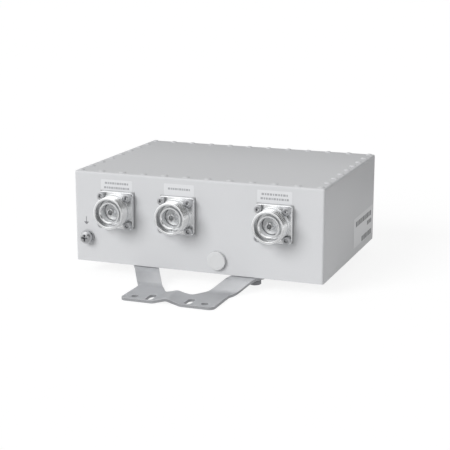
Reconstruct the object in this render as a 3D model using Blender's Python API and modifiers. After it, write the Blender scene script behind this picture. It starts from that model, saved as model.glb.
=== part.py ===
"""Outdoor radio-frequency duplexer with three coaxial sockets and two mast brackets.

A milled aluminium housing holds a low-pass line and four resonator cavities under a
tuning plate and a screwed lid. Two folded sheet brackets carry it on a mast or a wall.

Frame: metres, +Z up, the sockets face -Y. The origin is on the ground under the middle
of the housing, between the feet of the two brackets.
"""

import math

import bmesh
import bpy
from mathutils import Matrix, Vector

mm = 0.001

# Fits between neighbouring pieces
seat_gap = 0.3 * mm            # between faces that rest on each other
hole_clearance = 0.3 * mm      # around a screw shank or a rod in its hole

# Outside of the closed box
box_width = 234 * mm
box_depth = 174 * mm
box_height = 83 * mm
box_corner_radius = 2 * mm
box_corner_steps = 4           # facets in each rounded corner
lid_thickness = 3 * mm
lid_edge_radius = 1 * mm

# Walls inside the box
rim_width = 10 * mm            # flat rim that the lid is screwed to
ledge_width = 4 * mm           # step inside the rim that the tuning plate lies on
floor_thickness = 10 * mm
partition_thickness = 5 * mm
ledge_depth = 14 * mm          # ledge under the underside of the lid
low_chamber_width = 67 * mm
iris_width = 30 * mm
iris_sill = 18 * mm            # height left standing under each iris
common_window_width = 20 * mm
common_window_inset = 2 * mm   # window from the front wall of the cavities
common_window_drop = 10.5 * mm # sill of the window under the socket axes

# Lid screws, fused to the lid as painted heads
lid_screws_along_front = 12
lid_screws_along_side = 9
lid_screw_inset = 4.8 * mm
lid_head_radius = 2.9 * mm
lid_head_height = 1.5 * mm
seal_inset = 8.2 * mm          # middle of the seal groove from the outer face
seal_width = 1.2 * mm
seal_height = 1.6 * mm

# Tuning plate
plate_thickness = 3 * mm
plate_head_radius = 2.6 * mm
plate_head_height = 1.4 * mm

# Sockets, 7-16 pattern
low_band_inset = 42.5 * mm     # axis from the left side of the box
antenna_inset = 15 * mm        # axis from the wall between the low chamber and the cells
high_band_inset = 43.5 * mm    # axis from the right side of the box
socket_drop = 32.5 * mm        # axes under the top of the lid
gasket_thickness = 0.5 * mm
flange_size = 33 * mm
flange_corner_radius = 3 * mm
flange_thickness = 4 * mm
flange_hole_spacing = 25.4 * mm
collar_radius = 15.25 * mm
collar_length = 3.7 * mm
scallop_radius = 4.1 * mm
undercut_radius = 13.5 * mm
undercut_length = 1.2 * mm
thread_radius = 14.5 * mm
thread_length = 10.5 * mm
rim_chamfer = 0.8 * mm
mouth_radius = 12.2 * mm
mouth_depth = 9.5 * mm
sleeve_radius = 9.8 * mm
sleeve_setback = 2 * mm        # front of the inner sleeve behind the rim
sleeve_bore = 8 * mm
insulator_setback = 10.6 * mm  # front of the insulator behind the rim
contact_radius = 3.5 * mm
contact_bore = 2.2 * mm
contact_setback = 4.8 * mm     # tip of the contact behind the rim
contact_bore_depth = 7 * mm
contact_slot_width = 0.7 * mm
contact_slot_depth = 4 * mm
contact_shank_radius = 2.5 * mm
contact_tail = 3 * mm          # length of the shank that stands in the cavity

# M4 socket-head screws of the sockets
flange_screw_radius = 2 * mm
flange_screw_head_radius = 3.5 * mm
flange_screw_head_height = 4 * mm
flange_screw_key = 1.75 * mm   # corner radius of the hexagon socket
flange_screw_key_depth = 2.2 * mm
flange_screw_depth = 7 * mm    # into the housing

# Earth terminal at the lower left of the front
earth_inset = 12 * mm          # axis from the left side of the box
earth_height = 22.8 * mm
earth_screw_radius = 3 * mm
earth_screw_depth = 12 * mm
earth_head_radius = 5.8 * mm
earth_head_height = 3.6 * mm
earth_cross_length = 6.2 * mm
earth_cross_width = 1.3 * mm
earth_cross_depth = 2 * mm
earth_washer_radius = 6.4 * mm
earth_washer_thickness = 1.4 * mm
earth_spring_radius = 5.6 * mm
earth_spring_thickness = 1.6 * mm
earth_spring_cut = 0.8 * mm

# Vent plug at the lower middle of the front
vent_place = 20.5 * mm
vent_height = 12.2 * mm
vent_cap_radius = 8.4 * mm
vent_cap_height = 2.8 * mm
vent_ring_radius = 5.6 * mm
vent_ring_height = 0.4 * mm
vent_shank_radius = 4 * mm
vent_shank_length = 6.5 * mm
vent_bore_radius = 1 * mm
vent_passage_radius = 1.4 * mm

# Mast bracket, folded from one sheet; lengths along Y start at the face of the box
sheet_thickness = 2.5 * mm
bracket_rise = 9.7 * mm        # from the foot up to the flanges
bracket_offset = 1 * mm        # a bracket sits this far to the left, seen from its own side
foot_half_width = 42.5 * mm
foot_reach = 64 * mm
saddle_end = 37.6 * mm
foot_corner_radius = 5 * mm
saddle_half_width = 12.4 * mm
saddle_rise = 3.5 * mm
lower_fold = 20.2 * mm
upper_fold = 2.2 * mm
fold_half_length = 4 * mm      # half the length of sheet taken up by a fold of an arm
ridge_half_length = 1.8 * mm   # the same for the folds of the saddle
arm_width = 20.6 * mm
arm_foot_place = 33.6 * mm     # middle of the arm where it leaves the foot
bolt_place = 52.8 * mm
bolt_setback = 11.3 * mm       # bolt behind the face of the box
crotch_radius = 13 * mm
hip_radius = 11 * mm
wall_hole_place = 32 * mm
wall_hole_reach = 55.8 * mm
wall_hole_radius = 3.2 * mm
band_slot_place = 17.7 * mm
band_slot_reach = 54.2 * mm
band_slot_length = 15 * mm
band_slot_width = 6 * mm

# M6 bolts that hold the brackets
bolt_radius = 3 * mm
bolt_depth = 8 * mm            # into the housing
bolt_head_flats = 10 * mm
bolt_head_height = 4 * mm
bolt_washer_radius = 6 * mm
bolt_washer_thickness = 1.6 * mm

# Resonators and their tuning screws
resonator_radius = 12 * mm
resonator_hat_gap = 9.7 * mm   # between the hat and the ledge
resonator_hat_radius = 16 * mm
resonator_hat_height = 3 * mm
resonator_bore = 6 * mm
resonator_base = 16 * mm       # solid metal under the bore
tuning_screw_radius = 3 * mm
tuning_screw_length = 25 * mm
tuning_screw_stand = 7 * mm    # top of the screw above the tuning plate
tuning_slot_width = 0.9 * mm
tuning_slot_depth = 1.4 * mm
tuning_nut_flats = 10 * mm
tuning_nut_height = 3.5 * mm

# Low-pass line: a rod with discs, and the wires that join the filters
line_rod_radius = 2 * mm
line_disc_radius = 10 * mm
line_disc_ratio = 9 / 7        # length of the two inner discs against the two outer ones
line_rod_length = 12 * mm      # between two discs
line_end_length = 8 * mm
line_turn_room = 26.7 * mm     # from the far end of the line to the back wall
line_turn = 12 * mm            # from the far end of the line to the wire behind it
support_radius = 4 * mm
wire_radius = 1.5 * mm
wire_bend = 8 * mm
tap_lead = 4 * mm              # straight start of the high-band wire
return_wire_inset = 12 * mm    # wire from the wall of the low chamber

# Places worked out from the sizes above
box_base = sheet_thickness + bracket_rise + seat_gap
box_front = -box_depth / 2
lid_top = box_base + box_height
lid_base = lid_top - lid_thickness
housing_height = lid_base - seat_gap - box_base
cavity_floor = box_base + floor_thickness
ledge_level = lid_base - ledge_depth
plate_base = ledge_level + seat_gap
plate_top = plate_base + plate_thickness
cavity_inset = rim_width + ledge_width
cavity_left = -box_width / 2 + cavity_inset
cavity_right = box_width / 2 - cavity_inset
cavity_front = box_front + cavity_inset
cavity_back = box_depth / 2 - cavity_inset
filter_left = cavity_left + low_chamber_width + partition_thickness
cell_width = (cavity_right - filter_left - partition_thickness) / 2
cell_depth = (cavity_back - cavity_front - partition_thickness) / 2
axis_level = lid_top - socket_drop
socket_places = {              # X of each socket's axis
    "low_band": low_band_inset - box_width / 2,
    "antenna": filter_left + antenna_inset,
    "high_band": box_width / 2 - high_band_inset,
}
earth_place = earth_inset - box_width / 2
flange_seat = gasket_thickness + 2 * seat_gap
socket_length = flange_seat + flange_thickness + collar_length + undercut_length + thread_length
contact_back = cavity_inset + contact_tail
behind_contacts = box_front + contact_back + seat_gap
line_length = cavity_back - line_turn_room - behind_contacts
window_middle = cavity_front + common_window_inset + common_window_width / 2

collection = None
cutters = None


def start_collections():
    """Clear the scene and make one collection for the part and one for its cutters."""
    global collection, cutters
    for old in list(bpy.data.objects):
        bpy.data.objects.remove(old, do_unlink=True)
    collection = bpy.data.collections.new("rf_duplexer")
    cutters = bpy.data.collections.new("cutters")
    for group in (collection, cutters):
        bpy.context.scene.collection.children.link(group)


def material(name, colour, metallic, roughness):
    """A Principled material with one colour."""
    made = bpy.data.materials.new(name)
    made.use_nodes = True
    shader = made.node_tree.nodes["Principled BSDF"]
    shader.inputs["Base Color"].default_value = (*colour, 1)
    shader.inputs["Metallic"].default_value = metallic
    shader.inputs["Roughness"].default_value = roughness
    return made


def add_piece(name, mesh, finish, parent=None, location=(0, 0, 0), rotation=(0, 0, 0)):
    """Put a mesh in the part's collection as a named sub-part."""
    piece = bpy.data.objects.new(name, mesh)
    collection.objects.link(piece)
    if not mesh.materials:
        mesh.materials.append(finish)
    piece.parent = parent
    piece.location = location
    piece.rotation_euler = rotation
    return piece


def add_cutter(name, mesh, parent=None, location=(0, 0, 0), rotation=(0, 0, 0)):
    """Put a mesh among the cutters, where it is never part of the object."""
    cutter = bpy.data.objects.new(name, mesh)
    cutters.objects.link(cutter)
    cutter.hide_render = True
    cutter.display_type = "WIRE"
    cutter.parent = parent
    cutter.location = location
    cutter.rotation_euler = rotation
    return cutter


def add_boolean(piece, tool, operation="DIFFERENCE"):
    """Cut or join a tool object."""
    step = piece.modifiers.new(operation.lower() + "_" + tool.name, "BOOLEAN")
    step.operation = operation
    step.solver = "EXACT"
    step.object = tool


def mesh_from(bm, name):
    """Finish a bmesh as a mesh with its faces pointing outwards."""
    bmesh.ops.recalc_face_normals(bm, faces=bm.faces[:])
    mesh = bpy.data.meshes.new(name)
    bm.to_mesh(mesh)
    bm.free()
    return mesh


def block_mesh(name, low, high):
    """A box between two corners."""
    bm = bmesh.new()
    size = [top - bottom for bottom, top in zip(low, high)]
    middle = [(top + bottom) / 2 for bottom, top in zip(low, high)]
    place = Matrix.Translation(middle) @ Matrix.Diagonal((*size, 1))
    bmesh.ops.create_cube(bm, size=1, matrix=place)
    return mesh_from(bm, name)


def rod_mesh(name, radius, low, high, sides=12):
    """A cylinder or prism along Z from low to high."""
    bm = bmesh.new()
    place = Matrix.Translation((0, 0, (low + high) / 2))
    bmesh.ops.create_cone(bm, cap_ends=True, segments=sides, radius1=radius, radius2=radius,
                          depth=high - low, matrix=place)
    mesh = mesh_from(bm, name)
    mesh.shade_smooth()
    mesh.set_sharp_from_angle(angle=math.radians(40))
    return mesh


def profile_mesh(name, profile, closed=False):
    """Points (radius, height) joined in order in the XZ plane, for a Screw modifier."""
    mesh = bpy.data.meshes.new(name)
    count = len(profile)
    edges = [(index, index + 1) for index in range(count - 1)]
    if closed:
        edges.append((count - 1, 0))
    mesh.from_pydata([(radius, 0, height) for radius, height in profile], edges, [])
    return mesh


def add_turning(piece, steps):
    """Turn a profile once round Z."""
    turning = piece.modifiers.new("turned", "SCREW")
    turning.axis = "Z"
    turning.angle = 2 * math.pi
    turning.screw_offset = 0
    turning.steps = steps
    turning.render_steps = steps
    turning.use_merge_vertices = True
    turning.merge_threshold = 0.00001
    turning.use_smooth_shade = True


def round_corners(mesh, radius, segments, upper_radius=0.0):
    """Round the edges of a plate mesh that run along Z, and then its upper edges."""
    bm = bmesh.new()
    bm.from_mesh(mesh)
    upright = [edge for edge in bm.edges
               if abs((edge.verts[0].co - edge.verts[1].co).normalized().z) > 0.9]
    bmesh.ops.bevel(bm, geom=upright, offset=radius, segments=segments, profile=0.5,
                    affect="EDGES")
    if upper_radius > 0:
        top = max(vert.co.z for vert in bm.verts)
        upper = [edge for edge in bm.edges
                 if min(vert.co.z for vert in edge.verts) > top - 1e-7]
        bmesh.ops.bevel(bm, geom=upper, offset=upper_radius, segments=2, profile=0.5,
                        affect="EDGES")
    bm.to_mesh(mesh)
    bm.free()


def add_empty(name, location, rotation=(0, 0, 0)):
    """An empty that carries a group of pieces."""
    empty = bpy.data.objects.new(name, None)
    collection.objects.link(empty)
    empty.location = location
    empty.rotation_euler = rotation
    return empty


def make_finishes():
    """The part's materials."""
    return {
        "paint": material("grey_powder_coat", (0.60, 0.61, 0.62), 0.0, 0.45),
        "plating": material("white_bronze_plating", (0.72, 0.71, 0.69), 1.0, 0.25),
        "silver": material("silver_plating", (0.83, 0.82, 0.79), 1.0, 0.3),
        "steel": material("stainless_steel", (0.55, 0.55, 0.54), 1.0, 0.35),
        "ptfe": material("ptfe", (0.86, 0.86, 0.84), 0.0, 0.4),
        "rubber": material("silicone_rubber", (0.12, 0.12, 0.12), 0.0, 0.7),
        "cap": material("grey_moulded_cap", (0.62, 0.62, 0.61), 0.0, 0.5),
    }


def lid_screw_places():
    """Centres of the lid screws: evenly spaced rows along the four edges."""
    half_x = box_width / 2 - lid_screw_inset
    half_y = box_depth / 2 - lid_screw_inset
    places = []
    for index in range(lid_screws_along_front):
        x = -half_x + 2 * half_x * index / (lid_screws_along_front - 1)
        places += [(x, -half_y), (x, half_y)]
    for index in range(1, lid_screws_along_side - 1):
        y = -half_y + 2 * half_y * index / (lid_screws_along_side - 1)
        places += [(-half_x, y), (half_x, y)]
    return places


def dome_heads_mesh(name, places, level, radius, height, sides):
    """Low domed screw heads standing on a level, each sunk a little to be joined."""
    bm = bmesh.new()
    sunk = height / 2
    for x, y in places:
        rings = []
        for ring_radius, ring_level in ((radius, -sunk), (radius, 0.45 * height),
                                        (0.62 * radius, 0.88 * height)):
            ring = []
            for side in range(sides):
                angle = 2 * math.pi * side / sides
                ring.append(bm.verts.new((x + ring_radius * math.cos(angle),
                                          y + ring_radius * math.sin(angle),
                                          level + ring_level)))
            rings.append(ring)
        crown = bm.verts.new((x, y, level + height))
        bm.faces.new(rings[0][::-1])
        for side in range(sides):
            following = (side + 1) % sides
            for lower, upper in zip(rings, rings[1:]):
                bm.faces.new((lower[side], lower[following], upper[following], upper[side]))
            bm.faces.new((rings[-1][side], rings[-1][following], crown))
    mesh = bpy.data.meshes.new(name)
    bm.to_mesh(mesh)
    bm.free()
    return mesh


def make_lid(finish):
    """Flat lid with rounded edges and its painted screw heads."""
    half_x, half_y = box_width / 2, box_depth / 2
    mesh = block_mesh("lid", (-half_x, -half_y, lid_base), (half_x, half_y, lid_top))
    round_corners(mesh, box_corner_radius, box_corner_steps, lid_edge_radius)
    lid = add_piece("lid", mesh, finish)
    heads = add_cutter("lid_heads", dome_heads_mesh(
        "lid_heads", lid_screw_places(), lid_top, lid_head_radius, lid_head_height, 8))
    add_boolean(lid, heads, "UNION")


def frame_mesh(name, half_x, half_y, width, low, high):
    """A rectangular ring of square section whose middle line is at half_x, half_y."""
    bm = bmesh.new()
    rings = []
    for grow, level in ((width / 2, low), (width / 2, high), (-width / 2, high), (-width / 2, low)):
        ring = [bm.verts.new((side_x * (half_x + grow), side_y * (half_y + grow), level))
                for side_x, side_y in ((-1, -1), (1, -1), (1, 1), (-1, 1))]
        rings.append(ring)
    for first, second in zip(rings, rings[1:] + rings[:1]):
        for corner in range(4):
            following = (corner + 1) % 4
            bm.faces.new((first[corner], first[following], second[following], second[corner]))
    return mesh_from(bm, name)


def make_lid_seal(finish):
    """Rubber seal in the groove of the housing's rim."""
    top = lid_base - seat_gap
    mesh = frame_mesh("lid_seal", box_width / 2 - seal_inset, box_depth / 2 - seal_inset,
                      seal_width, top - seal_height, top)
    add_piece("lid_seal", mesh, finish)


def cell_centres():
    """Middles of the four resonator cells, in the order that the signal takes."""
    left = filter_left + cell_width / 2
    right = cavity_right - cell_width / 2
    front = cavity_front + cell_depth / 2
    back = cavity_back - cell_depth / 2
    return [(left, front), (left, back), (right, back), (right, front)]


def housing_cavities():
    """Low and high corners of every pocket milled into the housing."""
    top = ledge_level + 1 * mm
    centres = cell_centres()
    pockets = {
        "plate_recess": ((-box_width / 2 + rim_width, box_front + rim_width, ledge_level),
                         (box_width / 2 - rim_width, -box_front - rim_width, lid_base + 1 * mm)),
        "low_chamber": ((cavity_left, cavity_front, cavity_floor),
                        (cavity_left + low_chamber_width, cavity_back, top)),
    }
    for number, (x, y) in enumerate(centres, start=1):
        pockets[f"cell_{number}"] = ((x - cell_width / 2, y - cell_depth / 2, cavity_floor),
                                     (x + cell_width / 2, y + cell_depth / 2, top))
    reach = partition_thickness / 2 + 1 * mm
    for number, (first, second) in enumerate(zip(centres, centres[1:]), start=1):
        x, y = (first[0] + second[0]) / 2, (first[1] + second[1]) / 2
        along_x = iris_width / 2 if first[0] == second[0] else reach
        along_y = reach if first[0] == second[0] else iris_width / 2
        pockets[f"iris_{number}"] = ((x - along_x, y - along_y, cavity_floor + iris_sill),
                                     (x + along_x, y + along_y, top))
    wall_x = filter_left - partition_thickness / 2
    half_width = common_window_width / 2
    pockets["common_window"] = (
        (wall_x - reach, window_middle - half_width, axis_level - common_window_drop),
        (wall_x + reach, window_middle + half_width, top))
    return pockets


def front_hole(name, radius, depth, x, z, sides, start=-1 * mm):
    """A cutter for a round hole from the front face inwards."""
    mesh = rod_mesh(name, radius, start, depth, sides)
    return add_cutter(name, mesh, location=(x, box_front, z), rotation=(-math.pi / 2, 0, 0))


def flange_corners():
    """The four hole centres of a socket flange, in its own plane."""
    half = flange_hole_spacing / 2
    return [(-half, half), (half, half), (half, -half), (-half, -half)]


def make_housing(finish):
    """Milled tub: pockets for the filters, seal groove, and every screw hole."""
    half_x, half_y = box_width / 2, box_depth / 2
    mesh = block_mesh("housing", (-half_x, -half_y, box_base),
                      (half_x, half_y, box_base + housing_height))
    round_corners(mesh, box_corner_radius, box_corner_steps)
    housing = add_piece("housing", mesh, finish)
    tools = [add_cutter(name, block_mesh(name, low, high))
             for name, (low, high) in housing_cavities().items()]
    groove_floor = lid_base - 2 * seat_gap - seal_height
    tools.append(add_cutter("seal_groove", frame_mesh(
        "seal_groove", half_x - seal_inset, half_y - seal_inset, seal_width + 2 * hole_clearance,
        groove_floor, lid_base + 1 * mm)))
    for socket, x in socket_places.items():
        tools.append(front_hole(f"{socket}_opening", sleeve_bore, cavity_inset + 1 * mm,
                                x, axis_level, 20))
        for number, (across, up) in enumerate(flange_corners(), start=1):
            tools.append(front_hole(f"{socket}_tap_{number}", flange_screw_radius + hole_clearance,
                                    flange_screw_depth + 1 * mm, x + across, axis_level + up, 8))
    tools.append(front_hole("earth_tap", earth_screw_radius + hole_clearance,
                            earth_screw_depth + 1 * mm, earth_place, box_base + earth_height, 12))
    vent_level = box_base + vent_height
    tools.append(front_hole("vent_seat", vent_shank_radius + hole_clearance,
                            vent_shank_length + 1 * mm, vent_place, vent_level, 14))
    tools.append(front_hole("vent_passage", vent_passage_radius, cavity_inset + 1 * mm,
                            vent_place, vent_level, 8, start=vent_shank_length))
    for side_x in (-1, 1):
        for side_y in (-1, 1):
            name = f"bolt_tap_{side_x}_{side_y}"
            mesh = rod_mesh(name, bolt_radius + hole_clearance, -1 * mm, bolt_depth + 0.5 * mm, 12)
            place = (side_x * bolt_place + side_y * bracket_offset,
                     side_y * (half_y - bolt_setback), box_base)
            tools.append(add_cutter(name, mesh, location=place))
    for tool in tools:
        add_boolean(housing, tool)


def plate_screw_places():
    """Screws of the tuning plate: on the ledge corners and on the partitions."""
    half_x = box_width / 2 - rim_width - ledge_width / 2 - 0.8 * mm
    half_y = box_depth / 2 - rim_width - ledge_width / 2 - 0.8 * mm
    wall_x = filter_left - partition_thickness / 2
    cross_x = cavity_right - cell_width - partition_thickness / 2
    places = [(side_x * half_x, side_y * half_y) for side_x in (-1, 1) for side_y in (-1, 1)]
    places += [(wall_x, half_y), (wall_x, 0), (cross_x, half_y), (cross_x, -half_y), (cross_x, 0)]
    return places


def make_tuning_plate(finish):
    """Plate over the cavities, with threaded holes for the tuning screws."""
    inset = rim_width + seat_gap
    half_x, half_y = box_width / 2 - inset, box_depth / 2 - inset
    mesh = block_mesh("tuning_plate", (-half_x, -half_y, plate_base), (half_x, half_y, plate_top))
    plate = add_piece("tuning_plate", mesh, finish)
    heads = dome_heads_mesh("plate_heads", plate_screw_places(), plate_top,
                            plate_head_radius, plate_head_height, 6)
    add_boolean(plate, add_cutter("plate_heads", heads), "UNION")
    hole = rod_mesh("tuning_hole", tuning_screw_radius + hole_clearance, -plate_thickness,
                    2 * plate_thickness, 10)
    for number, (x, y) in enumerate(cell_centres(), start=1):
        tool = add_cutter(f"tuning_hole_{number}", hole, location=(x, y, plate_base))
        add_boolean(plate, tool)


def resonator_outline():
    """Half section of a resonator: up its open bore, over the hat and down the post."""
    base = cavity_floor + seat_gap
    top = ledge_level - resonator_hat_gap
    bore_floor = base + resonator_base
    return [(0, bore_floor), (resonator_bore, bore_floor), (resonator_bore, top),
            (resonator_hat_radius, top), (resonator_hat_radius, top - resonator_hat_height),
            (resonator_radius, top - resonator_hat_height), (resonator_radius, base), (0, base)]


def make_resonators(silver, steel):
    """Four posts on the cavity floor, each with its tuning screw and lock nut."""
    post = profile_mesh("resonator", resonator_outline())
    screw_top = plate_top + tuning_screw_stand
    screw = rod_mesh("tuning_screw", tuning_screw_radius, screw_top - tuning_screw_length,
                     screw_top, 10)
    nut = rod_mesh("tuning_nut", tuning_nut_flats / math.sqrt(3), plate_top + seat_gap,
                   plate_top + seat_gap + tuning_nut_height, 6)
    slot_half = 2 * tuning_screw_radius
    slot = block_mesh("tuning_slot", (-slot_half, -tuning_slot_width / 2,
                                      screw_top - tuning_slot_depth),
                      (slot_half, tuning_slot_width / 2, screw_top + 1 * mm))
    bore = rod_mesh("tuning_nut_bore", tuning_screw_radius + hole_clearance, plate_base,
                    screw_top, 10)
    for number, (x, y) in enumerate(cell_centres(), start=1):
        spot = (x, y, 0)
        add_turning(add_piece(f"resonator_{number}", post, silver, location=spot), 12)
        tuning_screw = add_piece(f"tuning_screw_{number}", screw, steel, location=spot)
        add_boolean(tuning_screw, add_cutter(f"tuning_slot_{number}", slot, location=spot))
        tuning_nut = add_piece(f"tuning_nut_{number}", nut, steel, location=spot)
        add_boolean(tuning_nut, add_cutter(f"tuning_nut_bore_{number}", bore, location=spot))


def socket_outline():
    """Outer half section of a socket from the rim down to the back of its flange."""
    thread_base = socket_length - thread_length
    undercut_base = thread_base - undercut_length
    return [(0, socket_length), (thread_radius - rim_chamfer, socket_length),
            (thread_radius, socket_length - rim_chamfer), (thread_radius, thread_base),
            (undercut_radius, thread_base), (undercut_radius, undercut_base),
            (collar_radius, undercut_base), (collar_radius, flange_seat + flange_thickness / 2),
            (0, flange_seat + flange_thickness / 2)]


def socket_mouth_outline():
    """Half section of the ring-shaped mouth between the thread and the inner sleeve."""
    above = socket_length + 1 * mm
    sleeve_front = socket_length - sleeve_setback
    return [(0, above), (mouth_radius, above), (mouth_radius, socket_length - mouth_depth),
            (sleeve_radius, socket_length - mouth_depth), (sleeve_radius, sleeve_front),
            (0, sleeve_front)]


def make_socket_body(socket, carrier, meshes, finish):
    """Square flange and threaded barrel, bored for the sleeve and cut for the screws."""
    body = add_piece(f"{socket}_socket", meshes["flange"], finish, carrier)
    barrel = add_cutter(f"{socket}_barrel", meshes["barrel"], carrier)
    add_turning(barrel, 28)
    add_boolean(body, barrel, "UNION")
    mouth = add_cutter(f"{socket}_mouth", meshes["mouth"], carrier)
    add_turning(mouth, 28)
    add_boolean(body, mouth)
    add_boolean(body, add_cutter(f"{socket}_bore", meshes["bore"], carrier))
    for number, (across, up) in enumerate(flange_corners(), start=1):
        spot = (across, up, 0)
        add_boolean(body, add_cutter(f"{socket}_scallop_{number}", meshes["scallop"], carrier, spot))
        add_boolean(body, add_cutter(f"{socket}_hole_{number}", meshes["hole"], carrier, spot))


def flange_screw_outline():
    """Half section of a socket-head screw, from the top of its head down."""
    head_base = flange_seat + flange_thickness + seat_gap
    head_top = head_base + flange_screw_head_height
    chamfer = 0.4 * mm
    return [(0, head_top), (flange_screw_head_radius - chamfer, head_top),
            (flange_screw_head_radius, head_top - chamfer), (flange_screw_head_radius, head_base),
            (flange_screw_radius, head_base), (flange_screw_radius, -flange_screw_depth),
            (0, -flange_screw_depth)]


def insulator_outline():
    """Closed half section of the insulator, a long ring round the contact's shank."""
    front = socket_length - insulator_setback
    outer, inner = sleeve_bore - hole_clearance, contact_shank_radius + hole_clearance
    return [(outer, front), (outer, -cavity_inset), (inner, -cavity_inset), (inner, front)]


def contact_outline():
    """Half section of the centre contact: sprung tube in front, solid shank behind."""
    tip = socket_length - contact_setback
    shoulder = socket_length - insulator_setback + seat_gap
    return [(0, tip - contact_bore_depth), (contact_bore, tip - contact_bore_depth),
            (contact_bore, tip), (contact_radius, tip), (contact_radius, shoulder),
            (contact_shank_radius, shoulder), (contact_shank_radius, -contact_back),
            (0, -contact_back)]


def socket_meshes():
    """Meshes that the three sockets share, in a frame whose +Z leaves the front face."""
    half = flange_size / 2
    flange = block_mesh("flange", (-half, -half, flange_seat),
                        (half, half, flange_seat + flange_thickness))
    round_corners(flange, flange_corner_radius, 3)
    gasket = block_mesh("gasket", (-half, -half, seat_gap),
                        (half, half, seat_gap + gasket_thickness))
    front = flange_seat + flange_thickness
    hole_radius = flange_screw_radius + hole_clearance
    slot_top = socket_length - contact_setback
    slot_half = 2 * contact_radius
    return {
        "flange": flange,
        "gasket": gasket,
        "barrel": profile_mesh("barrel", socket_outline()),
        "mouth": profile_mesh("mouth", socket_mouth_outline()),
        "bore": rod_mesh("bore", sleeve_bore, -1 * mm, socket_length, 20),
        "scallop": rod_mesh("scallop", scallop_radius, front,
                            front + collar_length + undercut_length / 2, 16),
        "hole": rod_mesh("hole", hole_radius, -1 * mm, front + 1 * mm, 8),
        "insulator": profile_mesh("insulator", insulator_outline(), closed=True),
        "contact": profile_mesh("contact", contact_outline()),
        "slot": block_mesh("contact_slot",
                           (-slot_half, -contact_slot_width / 2, slot_top - contact_slot_depth),
                           (slot_half, contact_slot_width / 2, slot_top + 1 * mm)),
        "screw": profile_mesh("flange_screw", flange_screw_outline()),
        "key": rod_mesh("flange_screw_key", flange_screw_key,
                        front + seat_gap + flange_screw_head_height - flange_screw_key_depth,
                        front + seat_gap + flange_screw_head_height + 1 * mm, 6),
    }


def make_socket(socket, x, meshes, finishes):
    """One coaxial socket on the front face with its gasket, inner pieces and screws."""
    carrier = add_empty(f"{socket}_place", (x, box_front, axis_level), (math.pi / 2, 0, 0))
    make_socket_body(socket, carrier, meshes, finishes["plating"])
    gasket = add_piece(f"{socket}_gasket", meshes["gasket"], finishes["rubber"], carrier)
    add_boolean(gasket, add_cutter(f"{socket}_gasket_bore", meshes["bore"], carrier))
    insulator = add_piece(f"{socket}_insulator", meshes["insulator"], finishes["ptfe"], carrier)
    add_turning(insulator, 16)
    contact = add_piece(f"{socket}_contact", meshes["contact"], finishes["silver"], carrier)
    add_turning(contact, 16)
    for number, turn in enumerate((0, math.pi / 2), start=1):
        slot = add_cutter(f"{socket}_contact_slot_{number}", meshes["slot"], carrier,
                          rotation=(0, 0, turn + math.pi / 16))
        add_boolean(contact, slot)
    for number, (across, up) in enumerate(flange_corners(), start=1):
        spot = (across, up, 0)
        add_boolean(gasket, add_cutter(f"{socket}_gasket_hole_{number}", meshes["hole"],
                                       carrier, spot))
        screw = add_piece(f"{socket}_screw_{number}", meshes["screw"], finishes["steel"],
                          carrier, spot)
        add_turning(screw, 10)
        add_boolean(screw, add_cutter(f"{socket}_key_{number}", meshes["key"], carrier, spot))


def make_earth_terminal(finishes):
    """Cross-recessed screw with a split spring washer and a flat washer."""
    carrier = add_empty("earth_place", (earth_place, box_front, box_base + earth_height),
                        (math.pi / 2, 0, 0))
    steel = finishes["steel"]
    bore = earth_screw_radius + hole_clearance
    washer_top = seat_gap + earth_washer_thickness
    spring_base = washer_top + seat_gap
    spring_top = spring_base + earth_spring_thickness
    head_base = spring_top + seat_gap
    head_top = head_base + earth_head_height
    washer = profile_mesh("earth_washer", [(earth_washer_radius, washer_top),
                                           (earth_washer_radius, seat_gap), (bore, seat_gap),
                                           (bore, washer_top)], closed=True)
    add_turning(add_piece("earth_washer", washer, steel, carrier), 16)
    spring = profile_mesh("earth_spring_washer", [(earth_spring_radius, spring_top),
                                                  (earth_spring_radius, spring_base),
                                                  (bore, spring_base), (bore, spring_top)],
                          closed=True)
    spring_washer = add_piece("earth_spring_washer", spring, steel, carrier)
    add_turning(spring_washer, 16)
    cut = block_mesh("spring_cut", (0, -earth_spring_cut / 2, 0),
                     (2 * earth_spring_radius, earth_spring_cut / 2, head_top))
    add_boolean(spring_washer, add_cutter("spring_cut", cut, carrier, rotation=(0, 0, 0.6)))
    head = profile_mesh("earth_screw", [
        (0, head_top), (0.55 * earth_head_radius, head_top - 0.08 * earth_head_height),
        (0.85 * earth_head_radius, head_top - 0.3 * earth_head_height),
        (earth_head_radius, head_top - 0.65 * earth_head_height),
        (earth_head_radius, head_base), (earth_screw_radius, head_base),
        (earth_screw_radius, -earth_screw_depth), (0, -earth_screw_depth)])
    screw = add_piece("earth_screw", head, steel, carrier)
    add_turning(screw, 16)
    for number, (half_x, half_y) in enumerate(((earth_cross_length / 2, earth_cross_width / 2),
                                               (earth_cross_width / 2, earth_cross_length / 2)),
                                              start=1):
        arm = block_mesh(f"earth_cross_{number}",
                         (-half_x, -half_y, head_top - earth_cross_depth),
                         (half_x, half_y, head_top + 1 * mm))
        add_boolean(screw, add_cutter(f"earth_cross_{number}", arm, carrier))


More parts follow.
